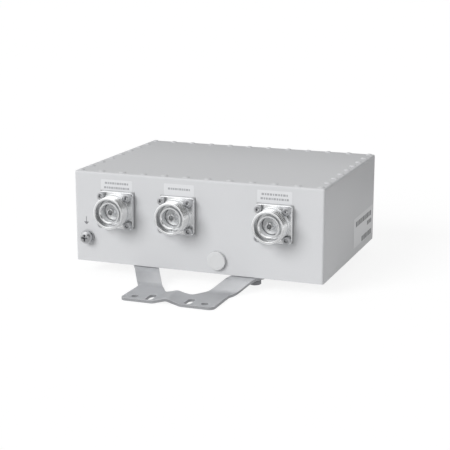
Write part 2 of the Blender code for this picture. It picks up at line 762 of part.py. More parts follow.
def make_vent_plug(finish):
    """Round cap with a faint ring, on a shank that is bored for the air."""
    carrier = add_empty("vent_place", (vent_place, box_front, box_base + vent_height),
                        (math.pi / 2, 0, 0))
    top = seat_gap + vent_cap_height
    ring_half = 0.5 * mm
    edge = 0.8 * mm
    outline = [(0, top), (vent_ring_radius - ring_half, top),
               (vent_ring_radius, top + vent_ring_height), (vent_ring_radius + ring_half, top),
               (vent_cap_radius - edge, top), (vent_cap_radius, top - edge),
               (vent_cap_radius, seat_gap), (vent_shank_radius, seat_gap),
               (vent_shank_radius, -vent_shank_length), (vent_bore_radius, -vent_shank_length),
               (vent_bore_radius, -seat_gap), (0, -seat_gap)]
    plug = add_piece("vent_plug", profile_mesh("vent_plug", outline), finish, carrier)
    add_turning(plug, 20)


def fillet(corner, before, after, radius, steps):
    """Points of an arc that rounds a corner between two straight edges."""
    corner, before, after = Vector(corner), Vector(before), Vector(after)
    to_before = (before - corner).normalized()
    to_after = (after - corner).normalized()
    half_angle = to_before.angle(to_after) / 2
    run = radius / math.tan(half_angle)
    centre = corner + (to_before + to_after).normalized() * radius / math.sin(half_angle)
    start = corner + to_before * run - centre
    sweep = math.pi - 2 * half_angle
    side = 1 if to_before.x * to_after.y - to_before.y * to_after.x < 0 else -1
    points = []
    for step in range(steps + 1):
        angle = side * sweep * step / steps
        turned = Vector((start.x * math.cos(angle) - start.y * math.sin(angle),
                         start.x * math.sin(angle) + start.y * math.cos(angle)))
        points.append(centre + turned)
    return points


def bracket_corners():
    """Corners (x, y, fillet radius, arc steps) of the right half, front to back."""
    base = Vector((arm_foot_place, -lower_fold))
    bolt = Vector((bolt_place, bolt_setback))
    along = (bolt - base).normalized()
    across = Vector((along.y, -along.x)) * arm_width / 2
    outer, inner = base + across, base - across
    hip = outer + along * (foot_half_width - outer.x) / along.x
    crotch = inner + along * (-saddle_end - inner.y) / along.y
    end = bolt + along * arm_width / 2
    round_end = 0.98 * arm_width / 2
    return [(foot_half_width, -foot_reach, foot_corner_radius, 4), (*hip, hip_radius, 3),
            (*(end + across), round_end, 5), (*(end - across), round_end, 5),
            (*crotch, crotch_radius, 4)]


def bracket_outline():
    """Closed outline of the flat sheet, the right half and its mirror image."""
    right = bracket_corners()
    left = [(-x, y, radius, steps) for x, y, radius, steps in reversed(right)]
    corners = right + left
    points = []
    for index, (x, y, radius, steps) in enumerate(corners):
        before = corners[index - 1][:2]
        after = corners[(index + 1) % len(corners)][:2]
        points += fillet((x, y), before, after, radius, steps)
    return points


def slot_outline(x, y, width, length, steps):
    """A slot with round ends along Y; a length equal to the width gives a circle."""
    radius = width / 2
    points = []
    for step in range(steps):
        angle = 2 * math.pi * (step + 0.5) / steps
        shift = math.copysign((length - width) / 2, math.sin(angle))
        points.append(Vector((x + radius * math.cos(angle), y + radius * math.sin(angle) + shift)))
    return points


def ramp(distance, half_length):
    """Climb past a fold: none before it, one in one after it, a parabola across it."""
    if distance <= -half_length:
        return 0.0
    if distance >= half_length:
        return distance
    return (distance + half_length) ** 2 / (4 * half_length)


def bracket_level(x, y):
    """Height of the underside of the folded sheet over a point of its outline."""
    arm_slope = bracket_rise / (lower_fold - upper_fold)
    saddle_slope = saddle_rise / saddle_half_width
    climb = ramp(y + lower_fold, fold_half_length) - ramp(y + upper_fold, fold_half_length)
    ridge = (ramp(x + saddle_half_width, ridge_half_length) - 2 * ramp(x, ridge_half_length)
             + ramp(x - saddle_half_width, ridge_half_length))
    return arm_slope * climb + saddle_slope * ridge


def bracket_mesh():
    """Flat sheet with its holes, cut along the folds and bent."""
    bm = bmesh.new()
    outlines = [bracket_outline()]
    for side in (-1, 1):
        outlines.append(slot_outline(side * wall_hole_place, -wall_hole_reach,
                                     2 * wall_hole_radius, 2 * wall_hole_radius, 12))
        outlines.append(slot_outline(side * band_slot_place, -band_slot_reach,
                                     band_slot_width, band_slot_length, 12))
        hole = 2 * (bolt_radius + hole_clearance)
        outlines.append(slot_outline(side * bolt_place, bolt_setback, hole, hole, 12))
    for outline in outlines:
        ring = [bm.verts.new((point.x, point.y, 0)) for point in outline]
        for first, second in zip(ring, ring[1:] + ring[:1]):
            bm.edges.new((first, second))
    bmesh.ops.triangle_fill(bm, use_beauty=True, edges=bm.edges[:], normal=(0, 0, 1))
    cuts = [(Vector((0, -line + shift * fold_half_length, 0)), Vector((0, 1, 0)))
            for line in (lower_fold, upper_fold) for shift in (-1, -0.5, 0, 0.5, 1)]
    cuts += [(Vector((line + shift * ridge_half_length, 0, 0)), Vector((1, 0, 0)))
             for line in (-saddle_half_width, 0, saddle_half_width) for shift in (-1, 0, 1)]
    for point, normal in cuts:
        geometry = bm.verts[:] + bm.edges[:] + bm.faces[:]
        bmesh.ops.bisect_plane(bm, geom=geometry, plane_co=point, plane_no=normal, dist=1e-7)
    for vert in bm.verts:
        vert.co.z = bracket_level(vert.co.x, vert.co.y)
    for face in bm.faces:
        if face.normal.z < 0:
            face.normal_flip()
    mesh = bpy.data.meshes.new("bracket")
    bm.to_mesh(mesh)
    bm.free()
    return mesh


def make_bracket(name, carrier, mesh, finishes):
    """One folded bracket with the two bolts and washers that hold it to the box."""
    bracket = add_piece(f"{name}_bracket", mesh, finishes["steel"], carrier)
    sheet = bracket.modifiers.new("sheet", "SOLIDIFY")
    sheet.thickness = sheet_thickness
    sheet.offset = 1
    sheet.use_even_offset = True
    washer_top = bracket_rise - seat_gap
    washer_base = washer_top - bolt_washer_thickness
    head_top = washer_base - seat_gap
    bore = bolt_radius + hole_clearance
    ring = profile_mesh(f"{name}_bolt_washer", [
        (bolt_washer_radius, washer_top), (bolt_washer_radius, washer_base), (bore, washer_base),
        (bore, washer_top)], closed=True)
    head = rod_mesh(f"{name}_bolt_head", bolt_head_flats / math.sqrt(3),
                    head_top - bolt_head_height, head_top, 6)
    shank = rod_mesh(f"{name}_bolt_shank", bolt_radius, head_top - bolt_head_height / 2,
                     box_base + bolt_depth, 12)
    for side, x in (("left", -bolt_place), ("right", bolt_place)):
        spot = (x, bolt_setback, 0)
        washer = add_piece(f"{name}_{side}_washer", ring, finishes["steel"], carrier, spot)
        add_turning(washer, 12)
        bolt = add_piece(f"{name}_{side}_bolt", head, finishes["steel"], carrier, spot)
        add_boolean(bolt, add_cutter(f"{name}_{side}_shank", shank, carrier, spot), "UNION")


def line_outline():
    """Half section of the low-pass line, from its far end back to the socket."""
    points = [(0, line_length)]
    end = line_length
    for start, length in reversed(line_discs()):
        points += [(line_rod_radius, end), (line_rod_radius, start + length),
                   (line_disc_radius, start + length), (line_disc_radius, start)]
        end = start
    return points + [(line_rod_radius, end), (line_rod_radius, 0), (0, 0)]


def line_discs():
    """Start and length of each disc: what the rods and the two ends leave of the line."""
    room = line_length - 2 * line_end_length - 3 * line_rod_length
    outer = room / (2 + 2 * line_disc_ratio)
    inner = line_disc_ratio * outer
    discs = []
    start = line_end_length
    for length in (outer, inner, inner, outer):
        discs.append((start, length))
        start += length + line_rod_length
    return discs


def support_places():
    """Distances along the line to the middles of its first and last rods."""
    discs = line_discs()
    return [start - line_rod_length / 2 for start, length in (discs[1], discs[-1])]


def wire_route(corners, bend, steps=4):
    """Straight runs between corners with each inner corner rounded."""
    points = [Vector(corners[0])]
    for before, corner, after in zip(corners, corners[1:], corners[2:]):
        points += fillet(corner, before, after, bend, steps)
    points.append(Vector(corners[-1]))
    return points


def wire_mesh(name, corners, bend):
    """A round wire on a flat route at the level of the socket axes."""
    curve = bpy.data.curves.new(name, "CURVE")
    curve.dimensions = "3D"
    curve.bevel_depth = wire_radius
    curve.bevel_resolution = 2
    curve.use_fill_caps = True
    route = wire_route(corners, bend)
    spline = curve.splines.new("POLY")
    spline.points.add(len(route) - 1)
    for point, place in zip(spline.points, route):
        point.co = (place.x, place.y, axis_level, 1)
    wire = bpy.data.objects.new(name, curve)
    collection.objects.link(wire)
    evaluated = wire.evaluated_get(bpy.context.evaluated_depsgraph_get())
    mesh = bpy.data.meshes.new_from_object(evaluated)
    bpy.data.objects.remove(wire, do_unlink=True)
    bm = bmesh.new()
    bm.from_mesh(mesh)
    bmesh.ops.remove_doubles(bm, verts=bm.verts[:], dist=1e-6)
    bm.to_mesh(mesh)
    bm.free()
    mesh.materials.clear()
    return mesh


def tap_route(x, knee_place, post):
    """From a socket's contact into its cell, and then straight at the axis of the post."""
    knee = Vector((x, knee_place))
    away = (knee - Vector(post)).normalized()
    end = Vector(post) + away * (resonator_radius + seat_gap)
    return [(x, behind_contacts), tuple(knee), tuple(end)]


def make_filter_lines(finishes):
    """Low-pass line on two posts, and the wires to the antenna and high-band sockets."""
    silver, ptfe = finishes["silver"], finishes["ptfe"]
    low_x = socket_places["low_band"]
    line = add_piece("low_pass_line", profile_mesh("low_pass_line", line_outline()), silver,
                     location=(low_x, behind_contacts, axis_level), rotation=(-math.pi / 2, 0, 0))
    add_turning(line, 12)
    post = rod_mesh("line_post", support_radius, cavity_floor + seat_gap,
                    axis_level - line_rod_radius - seat_gap, 10)
    for name, distance in zip(("front", "back"), support_places()):
        add_piece(f"line_post_{name}", post, ptfe, location=(low_x, behind_contacts + distance, 0))

    cells = cell_centres()
    antenna_route = tap_route(socket_places["antenna"], window_middle + wire_bend, cells[0])
    add_piece("antenna_wire", wire_mesh("antenna_wire", antenna_route, wire_bend), silver)
    high_band_route = tap_route(socket_places["high_band"], behind_contacts + tap_lead, cells[-1])
    add_piece("high_band_wire", wire_mesh("high_band_wire", high_band_route, wire_bend), silver)

    line_end = behind_contacts + line_length + seat_gap
    return_x = cavity_left + low_chamber_width - return_wire_inset
    turn_y = line_end - seat_gap + line_turn
    add_piece("common_wire", wire_mesh("common_wire", [
        (low_x, line_end), (low_x, turn_y), (return_x, turn_y), (return_x, window_middle),
        (socket_places["antenna"] - wire_radius - seat_gap, window_middle)], wire_bend), silver)


def main():
    """Build every sub-part."""
    start_collections()
    finishes = make_finishes()
    make_housing(finishes["paint"])
    make_lid(finishes["paint"])
    make_lid_seal(finishes["rubber"])
    make_tuning_plate(finishes["silver"])
    make_resonators(finishes["silver"], finishes["steel"])
    make_filter_lines(finishes)
    meshes = socket_meshes()
    for socket, x in socket_places.items():
        make_socket(socket, x, meshes, finishes)
    make_earth_terminal(finishes)
    make_vent_plug(finishes["cap"])
    sheet = bracket_mesh()
    front = add_empty("front_bracket_place", (-bracket_offset, box_front, 0))
    back = add_empty("back_bracket_place", (bracket_offset, -box_front, 0), (0, 0, math.pi))
    make_bracket("front", front, sheet, finishes)
    make_bracket("back", back, sheet, finishes)


main()
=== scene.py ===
"""Looks of an outdoor radio-frequency duplexer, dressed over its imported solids.

The script runs in Blender and stands alone. Everything is in metres, in the frame of the
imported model: +Z up, the sockets face -Y, and the origin is on the ground between the feet
of the two mast brackets.
"""

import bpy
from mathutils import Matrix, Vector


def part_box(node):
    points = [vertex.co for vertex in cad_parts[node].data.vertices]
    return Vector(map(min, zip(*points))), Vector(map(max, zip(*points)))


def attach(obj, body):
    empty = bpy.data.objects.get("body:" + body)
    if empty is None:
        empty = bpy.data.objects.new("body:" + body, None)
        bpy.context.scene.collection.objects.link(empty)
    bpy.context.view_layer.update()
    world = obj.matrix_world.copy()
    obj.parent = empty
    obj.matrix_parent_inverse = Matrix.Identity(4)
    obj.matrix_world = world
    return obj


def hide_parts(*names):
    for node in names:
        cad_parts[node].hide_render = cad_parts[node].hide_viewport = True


bl_info = {
    "name": "Radio duplexer looks",
    "version": (1, 0, 0),
    "blender": (4, 5, 0),
    "location": "View3D > Sidebar > Duplexer",
    "description": "Fine meshes and finishes of a cavity duplexer on two mast brackets",
    "category": "Object",
}

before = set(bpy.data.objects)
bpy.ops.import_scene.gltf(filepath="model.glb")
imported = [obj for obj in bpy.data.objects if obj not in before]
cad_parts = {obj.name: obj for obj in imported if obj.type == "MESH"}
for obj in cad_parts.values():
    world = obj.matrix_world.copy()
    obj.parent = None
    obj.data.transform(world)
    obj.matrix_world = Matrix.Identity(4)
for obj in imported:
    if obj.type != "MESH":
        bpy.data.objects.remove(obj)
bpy.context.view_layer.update()        # CAD nodes of the imported model, moved into world space

import functools
import math

import bmesh
import bpy
import numpy as np
from bpy.props import FloatProperty, FloatVectorProperty, IntProperty, PointerProperty
from mathutils import Vector

mm = 0.001
merge_distance = 0.001 * mm   # two points of a mesh that are nearer than this are one
body = "root"
sockets = ("low_band", "antenna", "high_band")
skin_gap = 0.02 * mm          # between a thin piece and the face that it lies on
cards = (                     # name, middle, way it faces, width and height, and tone
    ("card_key", (-0.60, -1.17, 0.72), (0.40, 0.78, -0.48), (1.0, 1.0), 1.5),
    ("card_over", (-0.42, -0.30, 1.15), (0.42, 0.30, -1.15), (0.8, 0.8), 1.5),
    ("card_right", (0.72, -1.22, 0.50), (-0.72, 1.22, -0.50), (1.75, 1.25), 0.01),
    ("card_low", (-0.12, -0.36, 0.05), (0, 1, 0), (0.5, 0.1), 0.75),
    ("card_floor", (0.02, -0.23, 0.002), (0, 0, 1), (0.5, 0.26), 0.52),
    ("card_far_right", (0.39, 0.36, 0.11), (0, -1, 0), (0.56, 0.22), 0.35),
    ("card_behind", (-0.22, 0.15, 0.077), (0, -1, 0), (0.65, 0.106), 0.25),
)
labels = (
    # Face, middle of the film across and up, half its width and half its height, and its rows
    # of print: middle across and up, width, height and number of blocks. All are in mm, across
    # from the middle of the box and up from its base.
    ("front", -75.3, 71.35, 15.3, 5.6, ((-75.3, 73.75, 22.8, 1.8, 10),
                                        (-75.3, 69.65, 24.6, 1.8, 11))),
    ("front", -15.1, 71.9, 14.2, 5.6, ((-15.1, 73.1, 20.6, 1.8, 10),)),
    ("front", 72.9, 72.7, 15.6, 5.6, ((72.9, 74.9, 23.4, 1.8, 10),
                                      (72.9, 71.1, 25.2, 1.8, 11))),
    ("right", 47, 21, 35, 14, ((47, 28.5, 56, 5, 11), (69, 21, 16, 4, 5), (59, 10, 36, 5, 8))),
)
earth_sign_across = -106.2    # from the middle of the box, in mm
earth_sign_strokes = (        # middle above the box's base, half width and half height, in mm
    (39, 0.3, 2.4), (36.2, 2.2, 0.35), (35.4, 1.5, 0.35), (34.6, 0.8, 0.35),
)

housing_low, housing_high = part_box("housing")
lid_low, lid_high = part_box("lid")
box_front = housing_low.y
box_right = housing_high.x
box_base = housing_low.z


# Property makers

def linear(code):
    """Linear colour from an sRGB hex code: each channel by the sRGB transfer curve."""
    channels = [int(code[place:place + 2], 16) / 255 for place in (1, 3, 5)]
    return tuple(c / 12.92 if c <= 0.04045 else ((c + 0.055) / 1.055) ** 2.4 for c in channels)


def length(name, description, millimetres):
    """A size that is given in millimetres and kept in metres."""
    return FloatProperty(name=name, description=description, default=millimetres * mm,
                         unit="LENGTH", precision=5)


def colour(name, description, code):
    """A colour that is given as an sRGB hex code."""
    return FloatVectorProperty(name=name, description=description, default=linear(code),
                               subtype="COLOR", size=3, min=0, max=1)


def share(name, description, default):
    """A number from nought to one."""
    return FloatProperty(name=name, description=description, default=default,
                         subtype="FACTOR", min=0, max=1)


def count(name, description, default):
    """A whole number of pieces or steps."""
    return IntProperty(name=name, description=description, default=default, min=1)


class FinishSettings(bpy.types.PropertyGroup):
    """Colours and gloss of the duplexer's surfaces."""

    paint: colour("Powder coat", "Light grey of the box and its lid", "#CFD0D2")
    paint_roughness: share("Powder coat roughness", "Satin of the powder coat", 0.43)
    plating: colour("Socket plating", "White bronze over brass", "#F2F3F4")
    plating_roughness: share("Plating roughness", "Turned and plated metal", 0.22)
    steel: colour("Fastener steel", "Stainless steel of screws and washers", "#C9CACC")
    steel_roughness: share("Fastener roughness", "Rolled and turned steel", 0.3)
    # The bolts' dark grey is painted shade of the shade they stand in under the box
    bolt_tone_and_shade: colour("Bolt steel", "Dull stainless steel of the bracket bolts", "#7E7F82")
    forged_roughness: share("Bolt roughness", "Pickled steel", 0.5)
    sheet: colour("Bracket steel", "Stainless steel sheet of the brackets", "#D3D4D6")
    sheet_roughness: share("Bracket roughness", "Satin of the brushed sheet", 0.4)
    # Darker than the faces partly for the matt torn metal and partly as painted shade of the edges and
    # hole walls
    sheared: colour("Sheared edges", "Darker steel of the bracket's edges", "#A3A4A7")
    sheared_roughness: share("Sheared edge roughness", "Matt of a sheared edge", 0.6)
    silver: colour("Silver plating", "Contacts and parts inside the filter", "#E2E3E4")
    silver_roughness: share("Silver roughness", "Satin of the silver plating", 0.34)
    insulator: colour("Insulator", "White fluoropolymer", "#F7F8F9")
    rubber: colour("Seal rubber", "Pale silicone rubber of the gaskets", "#A6A7A8")
    cap: colour("Vent cap", "Moulded light grey plastic", "#D3D4D5")
    film: colour("Label film", "White film of the labels", "#DBDCDE")
    ink: colour("Label print", "Grey print over the sockets", "#A6A7AA")
    dark_ink: colour("Dark print", "Print on the right side and the earth sign", "#77787B")


class LidSettings(bpy.types.PropertyGroup):
    """Lid plate and its painted screws."""

    head_height: length("Head height", "Screw head above the lid, at its highest", 1.5)
    crown_height: length("Crown height", "Head that the paint leaves to be seen", 1.05)
    head_radius: length("Head radius", "Radius of a screw head", 2.9)
    paint_foot: length("Paint foot", "Fillet of paint round a screw head", 0.3)
    head_inset: length("Head inset", "Screw axis from the edge of the lid", 4.8)
    heads_along_front: count("Heads along the front", "Screws in the front and back rows", 12)
    heads_along_side: count("Heads along a side", "Screws in each side row", 9)
    corner_radius: length("Corner radius", "Upright corners of the box", 2)
    edge_radius: length("Edge radius", "Upper edge of the lid", 1.6)
    seam: length("Seam", "Paint-filled joint between the lid and the box", 0.02)


class SocketSettings(bpy.types.PropertyGroup):
    """Sizes of a coaxial socket; distances are from the front face of the box."""

    flange_back: length("Flange back", "Back of the flange", 1.1)
    flange_front: length("Flange front", "Front of the flange", 5.1)
    flange_size: length("Flange size", "Side of the square flange", 33)
    flange_corner: length("Flange corner", "Radius of the flange corners", 3)
    hole_spacing: length("Hole spacing", "Between two flange screws", 25.4)
    hole_radius: length("Hole radius", "Clearance hole of a flange screw", 2.3)
    collar_radius: length("Collar radius", "Collar in front of the flange", 15.25)
    collar_front: length("Collar front", "Front of the collar", 8.8)
    scallop_radius: length("Scallop radius", "Cuts in the collar for the screw heads", 4.1)
    undercut_radius: length("Undercut radius", "Groove behind the thread", 13.5)
    thread_back: length("Thread back", "Where the thread starts", 10)
    thread_radius: length("Thread radius", "Crest of the thread", 14.5)
    thread_pitch: length("Thread pitch", "Distance between two crests", 1.5)
    thread_depth: length("Thread depth", "Crest to root", 0.9)
    rim: length("Rim", "Front end of the barrel", 20.5)
    mouth_radius: length("Mouth radius", "Inside of the barrel", 12.2)
    mouth_floor: length("Mouth floor", "Floor between barrel and sleeve", 11)
    sleeve_radius: length("Sleeve radius", "Outside of the inner sleeve", 9.8)
    sleeve_front: length("Sleeve front", "Front of the inner sleeve", 18.5)
    bore_radius: length("Bore radius", "Inside of the inner sleeve", 8)
    lead_in: length("Lead-in", "Chamfer at the mouth of the inner sleeve", 0.8)
    edge: length("Edge", "Chamfer of the turned edges", 0.4)


class CoreSettings(bpy.types.PropertyGroup):
    """Sizes of the insulator and the centre contact in a socket."""

    insulator_front: length("Insulator front", "Front of the insulator", 9.9)
    insulator_back: length("Insulator back", "Back of the insulator", -14)
    insulator_radius: length("Insulator radius", "Outside of the insulator", 7.7)
    insulator_bore: length("Insulator bore", "Hole for the contact", 2.8)
    tip: length("Tip", "Front end of the contact", 15.7)
    shoulder: length("Shoulder", "Back of the wide part of the contact", 10.2)
    tail: length("Tail", "Back end of the contact", -17)
    radius: length("Radius", "Outside of the contact", 3.5)
    bore: length("Bore", "Hole that takes the plug's pin", 2.2)
    bore_depth: length("Bore depth", "Depth of that hole", 7)
    shank: length("Shank", "Radius behind the shoulder", 2.5)
    slot_width: length("Slot width", "Slots between the sprung fingers", 0.45)
    slot_depth: length("Slot depth", "Length of the sprung fingers", 4)


class ScrewSettings(bpy.types.PropertyGroup):
    """Sizes of the flange screws; distances are from the front face of the box."""

    head_radius: length("Head radius", "Head of a flange screw", 3.5)
    head_base: length("Head base", "Underside of the head", 5.4)
    head_height: length("Head height", "Height of the head", 4)
    key_radius: length("Key radius", "Corner radius of the hexagon socket", 1.75)
    key_depth: length("Key depth", "Depth of the hexagon socket", 2.2)
    shank: length("Shank", "Radius of the screw", 2)
    reach: length("Reach", "How far the screw goes into the box", 7)
    knurls: count("Knurls", "Ridges round the head", 36)
    knurl_depth: length("Knurl depth", "Depth of the ridges", 0.09)


class EarthSettings(bpy.types.PropertyGroup):
    """Sizes of the earth terminal; distances are from the front face of the box."""

    screw_radius: length("Screw radius", "Outside of the thread", 3)
    reach: length("Reach", "How far the screw goes into the box", 12)
    head_radius: length("Head radius", "Outside of the pan head", 5.8)
    head_base: length("Head base", "Underside of the head", 3.9)
    head_height: length("Head height", "Height of the head", 3.6)
    recess_length: length("Recess length", "Across the cross recess", 6.2)
    recess_width: length("Recess width", "Width of an arm of the recess", 1.5)
    recess_depth: length("Recess depth", "Depth of the recess", 3)
    washer_bore: length("Washer bore", "Inside radius of both washers", 3.3)
    spring_radius: length("Spring washer radius", "Outside of the split washer", 5.6)
    spring_back: length("Spring washer back", "Back of the split washer", 2.05)
    spring_front: length("Spring washer front", "Front of the split washer", 3.55)
    spring_set: length("Spring washer set", "Climb from one end of the split ring to the other", 0.2)
    washer_radius: length("Washer radius", "Outside of the flat washer", 6.4)
    washer_back: length("Washer back", "Back of the flat washer", 0.3)
    washer_front: length("Washer front", "Front of the flat washer", 1.7)


class VentSettings(bpy.types.PropertyGroup):
    """Sizes of the vent plug; distances are from the front face of the box."""

    cap_radius: length("Cap radius", "Outside of the cap", 8.4)
    cap_front: length("Cap front", "Front of the cap", 3.1)
    cap_back: length("Cap back", "Back of the cap", 0.3)
    ring_radius: length("Ring radius", "Faint ring on the cap's face", 5.6)
    shank: length("Shank", "Radius of the shank", 4)
    bore: length("Bore", "Radius of the hole for the air", 1)
    reach: length("Reach", "How far the shank goes into the box", 6.5)


class LabelSettings(bpy.types.PropertyGroup):
    """Sizes of the label films and of the print."""

    film_thickness: length("Film thickness", "Polyester film", 0.1)
    film_corner: length("Film corner", "Radius of a film's corners", 1)
    ink_thickness: length("Ink thickness", "Layer of screen-printed ink", 0.03)
    block_corner: length("Block corner", "Radius of a printed block's corners", 0.15)
    stroke_corner: length("Stroke corner", "Radius of the earth sign's strokes", 0.1)


class BracketSettings(bpy.types.PropertyGroup):
    """Folded bracket; lengths along Y start at the face of the box."""

    sheet: length("Sheet", "Thickness of the sheet", 2.5)
    offset: length("Offset", "How far a bracket sits to the left, seen from its own side", 1)
    rise: length("Rise", "From the foot up to the flanges", 9.7)
    half_width: length("Half width", "Half the width of the foot", 42.5)
    reach: length("Reach", "Front edge of the foot", 64)
    saddle_end: length("Saddle end", "Back edge of the saddle", 37.6)
    saddle_half_width: length("Saddle half width", "Half the width of the V", 12.4)
    saddle_rise: length("Saddle rise", "Height of the V", 3.5)
    lower_fold: length("Lower fold", "Fold between foot and arm", 20.2)
    upper_fold: length("Upper fold", "Fold between arm and flange", 2.2)
    fold_half: length("Fold half length", "Half the sheet taken up by a fold of an arm", 4)
    ridge_half: length("Ridge half length", "The same for the folds of the saddle", 1.8)
    arm_width: length("Arm width", "Width of an arm", 20.6)
    arm_place: length("Arm place", "Middle of the arm at the foot", 33.6)
    bolt_place: length("Bolt place", "Bolt from the middle of the bracket", 52.8)
    bolt_setback: length("Bolt setback", "Bolt behind the face of the box", 11.3)
    foot_corner: length("Foot corner", "Radius of the foot's corners", 5)
    hip: length("Hip", "Radius where the foot meets the arm outside", 11)
    crotch: length("Crotch", "Radius where the saddle meets the arm", 13)
    wall_hole_x: length("Wall hole place", "Wall hole from the middle", 32)
    wall_hole_y: length("Wall hole reach", "Wall hole from the box", 55.8)
    wall_hole: length("Wall hole", "Radius of a wall hole", 3.2)
    slot_x: length("Slot place", "Band slot from the middle", 17.7)
    slot_y: length("Slot reach", "Band slot from the box", 54.2)
    slot_length: length("Slot length", "Length of a band slot", 15)
    slot_width: length("Slot width", "Width of a band slot", 6)
    bolt_hole: length("Bolt hole", "Radius of a bolt hole", 3.3)
    edge: length("Edge", "Width of the deburred edges", 0.5)


class BoltSettings(bpy.types.PropertyGroup):
    """Sizes of the bracket bolts and their washers."""

    flats: length("Flats", "Across the flats of the head", 10)
    head_height: length("Head height", "Height of the head with its washer face", 4)
    shank: length("Shank", "Outside radius of the thread", 3)
    washer_bore: length("Washer bore", "Inside radius of the washer", 3.3)
    washer_radius: length("Washer radius", "Outside radius of the washer", 6)


class StageSettings(bpy.types.PropertyGroup):
    """Camera, light and floor."""

    camera_place: FloatVectorProperty(name="Camera place", description="Where the camera stands",
                                      default=(0.3871, -1.0351, 0.3025), subtype="TRANSLATION",
                                      unit="LENGTH")
    camera_tilt: FloatProperty(name="Camera tilt", description="Up from looking straight down",
                               default=math.radians(76.4), unit="ROTATION")
    camera_turn: FloatProperty(name="Camera turn", description="Turn about the upright",
                               default=math.radians(20.75), unit="ROTATION")
    camera_lens: FloatProperty(name="Lens", description="Focal length in millimetres on a 36 mm frame",
                               default=96.38)
    key_strength: FloatProperty(name="Key light", description="Light from the upper left",
                                default=2.15)
    key_from: FloatVectorProperty(name="Key direction", description="Way from the box to the light",
                                  default=(-0.40, -0.78, 0.48), subtype="DIRECTION")
    key_angle: FloatProperty(name="Key size", description="Width of the key light in the sky",
                             default=math.radians(34), unit="ROTATION")
    world_strength: FloatProperty(name="World light", description="Even light from all round",
                                  default=0.4)
    floor: colour("Floor", "White floor", "#F4F4F4")
    floor_glow: FloatProperty(name="Floor glow", default=1.1,
                              description="Over 1, so that the floor shows white where it is lit")
    glow_share: share("Glow share", "Glow in the floor that is seen; the rest takes shadow", 0.78)


# Meshes from grids of points

def sheet_of(points, around=True, along=False, capped=True):
    """Points and faces of a grid: a quad between each pair of rows and pair of columns.

    around joins the last column to the first, along joins the last row to the first, and
    capped closes an open first and last row with a flat face.
    """
    rows, columns = points.shape[:2]
    index = np.arange(rows * columns).reshape(rows, columns)
    first, last = index[0], index[-1]
    if around:
        index = np.concatenate([index, index[:, :1]], axis=1)
    if along:
        index = np.concatenate([index, index[:1]], axis=0)
    quads = np.stack([index[:-1, :-1], index[:-1, 1:], index[1:, 1:], index[1:, :-1]], axis=-1)
    faces = quads.reshape(-1, 4).tolist()
    if capped and not along:
        faces += [first[::-1].tolist(), last.tolist()]
    return points.reshape(-1, 3), faces


def mesh_of(name, sheets, sharp=35):
    """One closed mesh: sheets that touch are joined, and every shell faces outwards."""
    vertices, faces, start = [], [], 0
    for points, quads in sheets:
        vertices.append(points)
        faces += [[corner + start for corner in face] for face in quads]
        start += len(points)
    mesh = bpy.data.meshes.new(name)
    mesh.from_pydata(np.concatenate(vertices).tolist(), [], faces)
    return closed_mesh(mesh, sharp)


def closed_mesh(mesh, sharp=35):
    """Merge a mesh's doubles, face it outwards and shade it smooth between sharp edges."""
    bm = bmesh.new()
    bm.from_mesh(mesh)
    bmesh.ops.remove_doubles(bm, verts=bm.verts[:], dist=merge_distance)
    bmesh.ops.recalc_face_normals(bm, faces=bm.faces[:])
    if any(not edge.is_manifold for edge in bm.edges):
        raise RuntimeError(f"{mesh.name} is not closed")
    bm.to_mesh(mesh)
    bm.free()
    mesh.shade_smooth()
    mesh.set_sharp_from_angle(angle=math.radians(sharp))
    return mesh


def cut_mesh(mesh, tool, sharp=35):
    """The mesh less the tool, by an exact Boolean."""
    holder = bpy.data.objects.new("cut", mesh)
    cutter = bpy.data.objects.new("cutter", tool)
    for item in (holder, cutter):
        bpy.context.scene.collection.objects.link(item)
    step = holder.modifiers.new("cut", "BOOLEAN")
    step.solver = "EXACT"
    step.object = cutter
    made = applied_mesh(holder, mesh.name)
    bpy.data.objects.remove(cutter)
    return closed_mesh(made, sharp)


def evened_mesh(mesh):
    """The mesh with normals weighted by area, so that its flat faces shade flat."""
    holder = bpy.data.objects.new("evened", mesh)
    bpy.context.scene.collection.objects.link(holder)
    step = holder.modifiers.new("even", "WEIGHTED_NORMAL")
    step.weight = 100
    step.keep_sharp = True
    return applied_mesh(holder, mesh.name)


def applied_mesh(holder, name):
    """The mesh of an object with its modifiers applied; the object is removed."""
    evaluated = holder.evaluated_get(bpy.context.evaluated_depsgraph_get())
    made = bpy.data.meshes.new_from_object(evaluated)
    made.name = name
    bpy.data.objects.remove(holder)
    return made


def rounded(corners, closed=False, steps=4):
    """Outline through corners (x, y, radius), each rounded by an arc that touches both sides."""
    points = []
    total = len(corners)
    for number, (x, y, radius) in enumerate(corners):
        corner = np.array((x, y))
        if radius == 0 or (not closed and number in (0, total - 1)):
            points.append(corner)
            continue
        before = np.array(corners[number - 1][:2]) - corner
        after = np.array(corners[(number + 1) % total][:2]) - corner
        before /= np.linalg.norm(before)
        after /= np.linalg.norm(after)
        half = math.acos(float(np.clip(before @ after, -1, 1))) / 2
        middle = (before + after) / np.linalg.norm(before + after)
        centre = corner + middle * radius / math.sin(half)
        start = corner + before * radius / math.tan(half) - centre
        side = 1 if before[0] * after[1] - before[1] * after[0] < 0 else -1
        for angle in np.linspace(0, side * (math.pi - 2 * half), steps + 1):
            turned = (start[0] * math.cos(angle) - start[1] * math.sin(angle),
                      start[0] * math.sin(angle) + start[1] * math.cos(angle))
            points.append(centre + turned)
    return np.array(points)


def revolved(profile, columns=48):
    """Grid of a turned shape: each point (radius, level) of the profile goes once round Z."""
    profile = np.asarray(profile, float)
    angle = np.linspace(0, 2 * math.pi, columns, endpoint=False)
    radius, level = profile[:, :1], profile[:, 1:2]
    return np.stack([radius * np.cos(angle), radius * np.sin(angle),
                     level + 0 * angle], axis=-1)


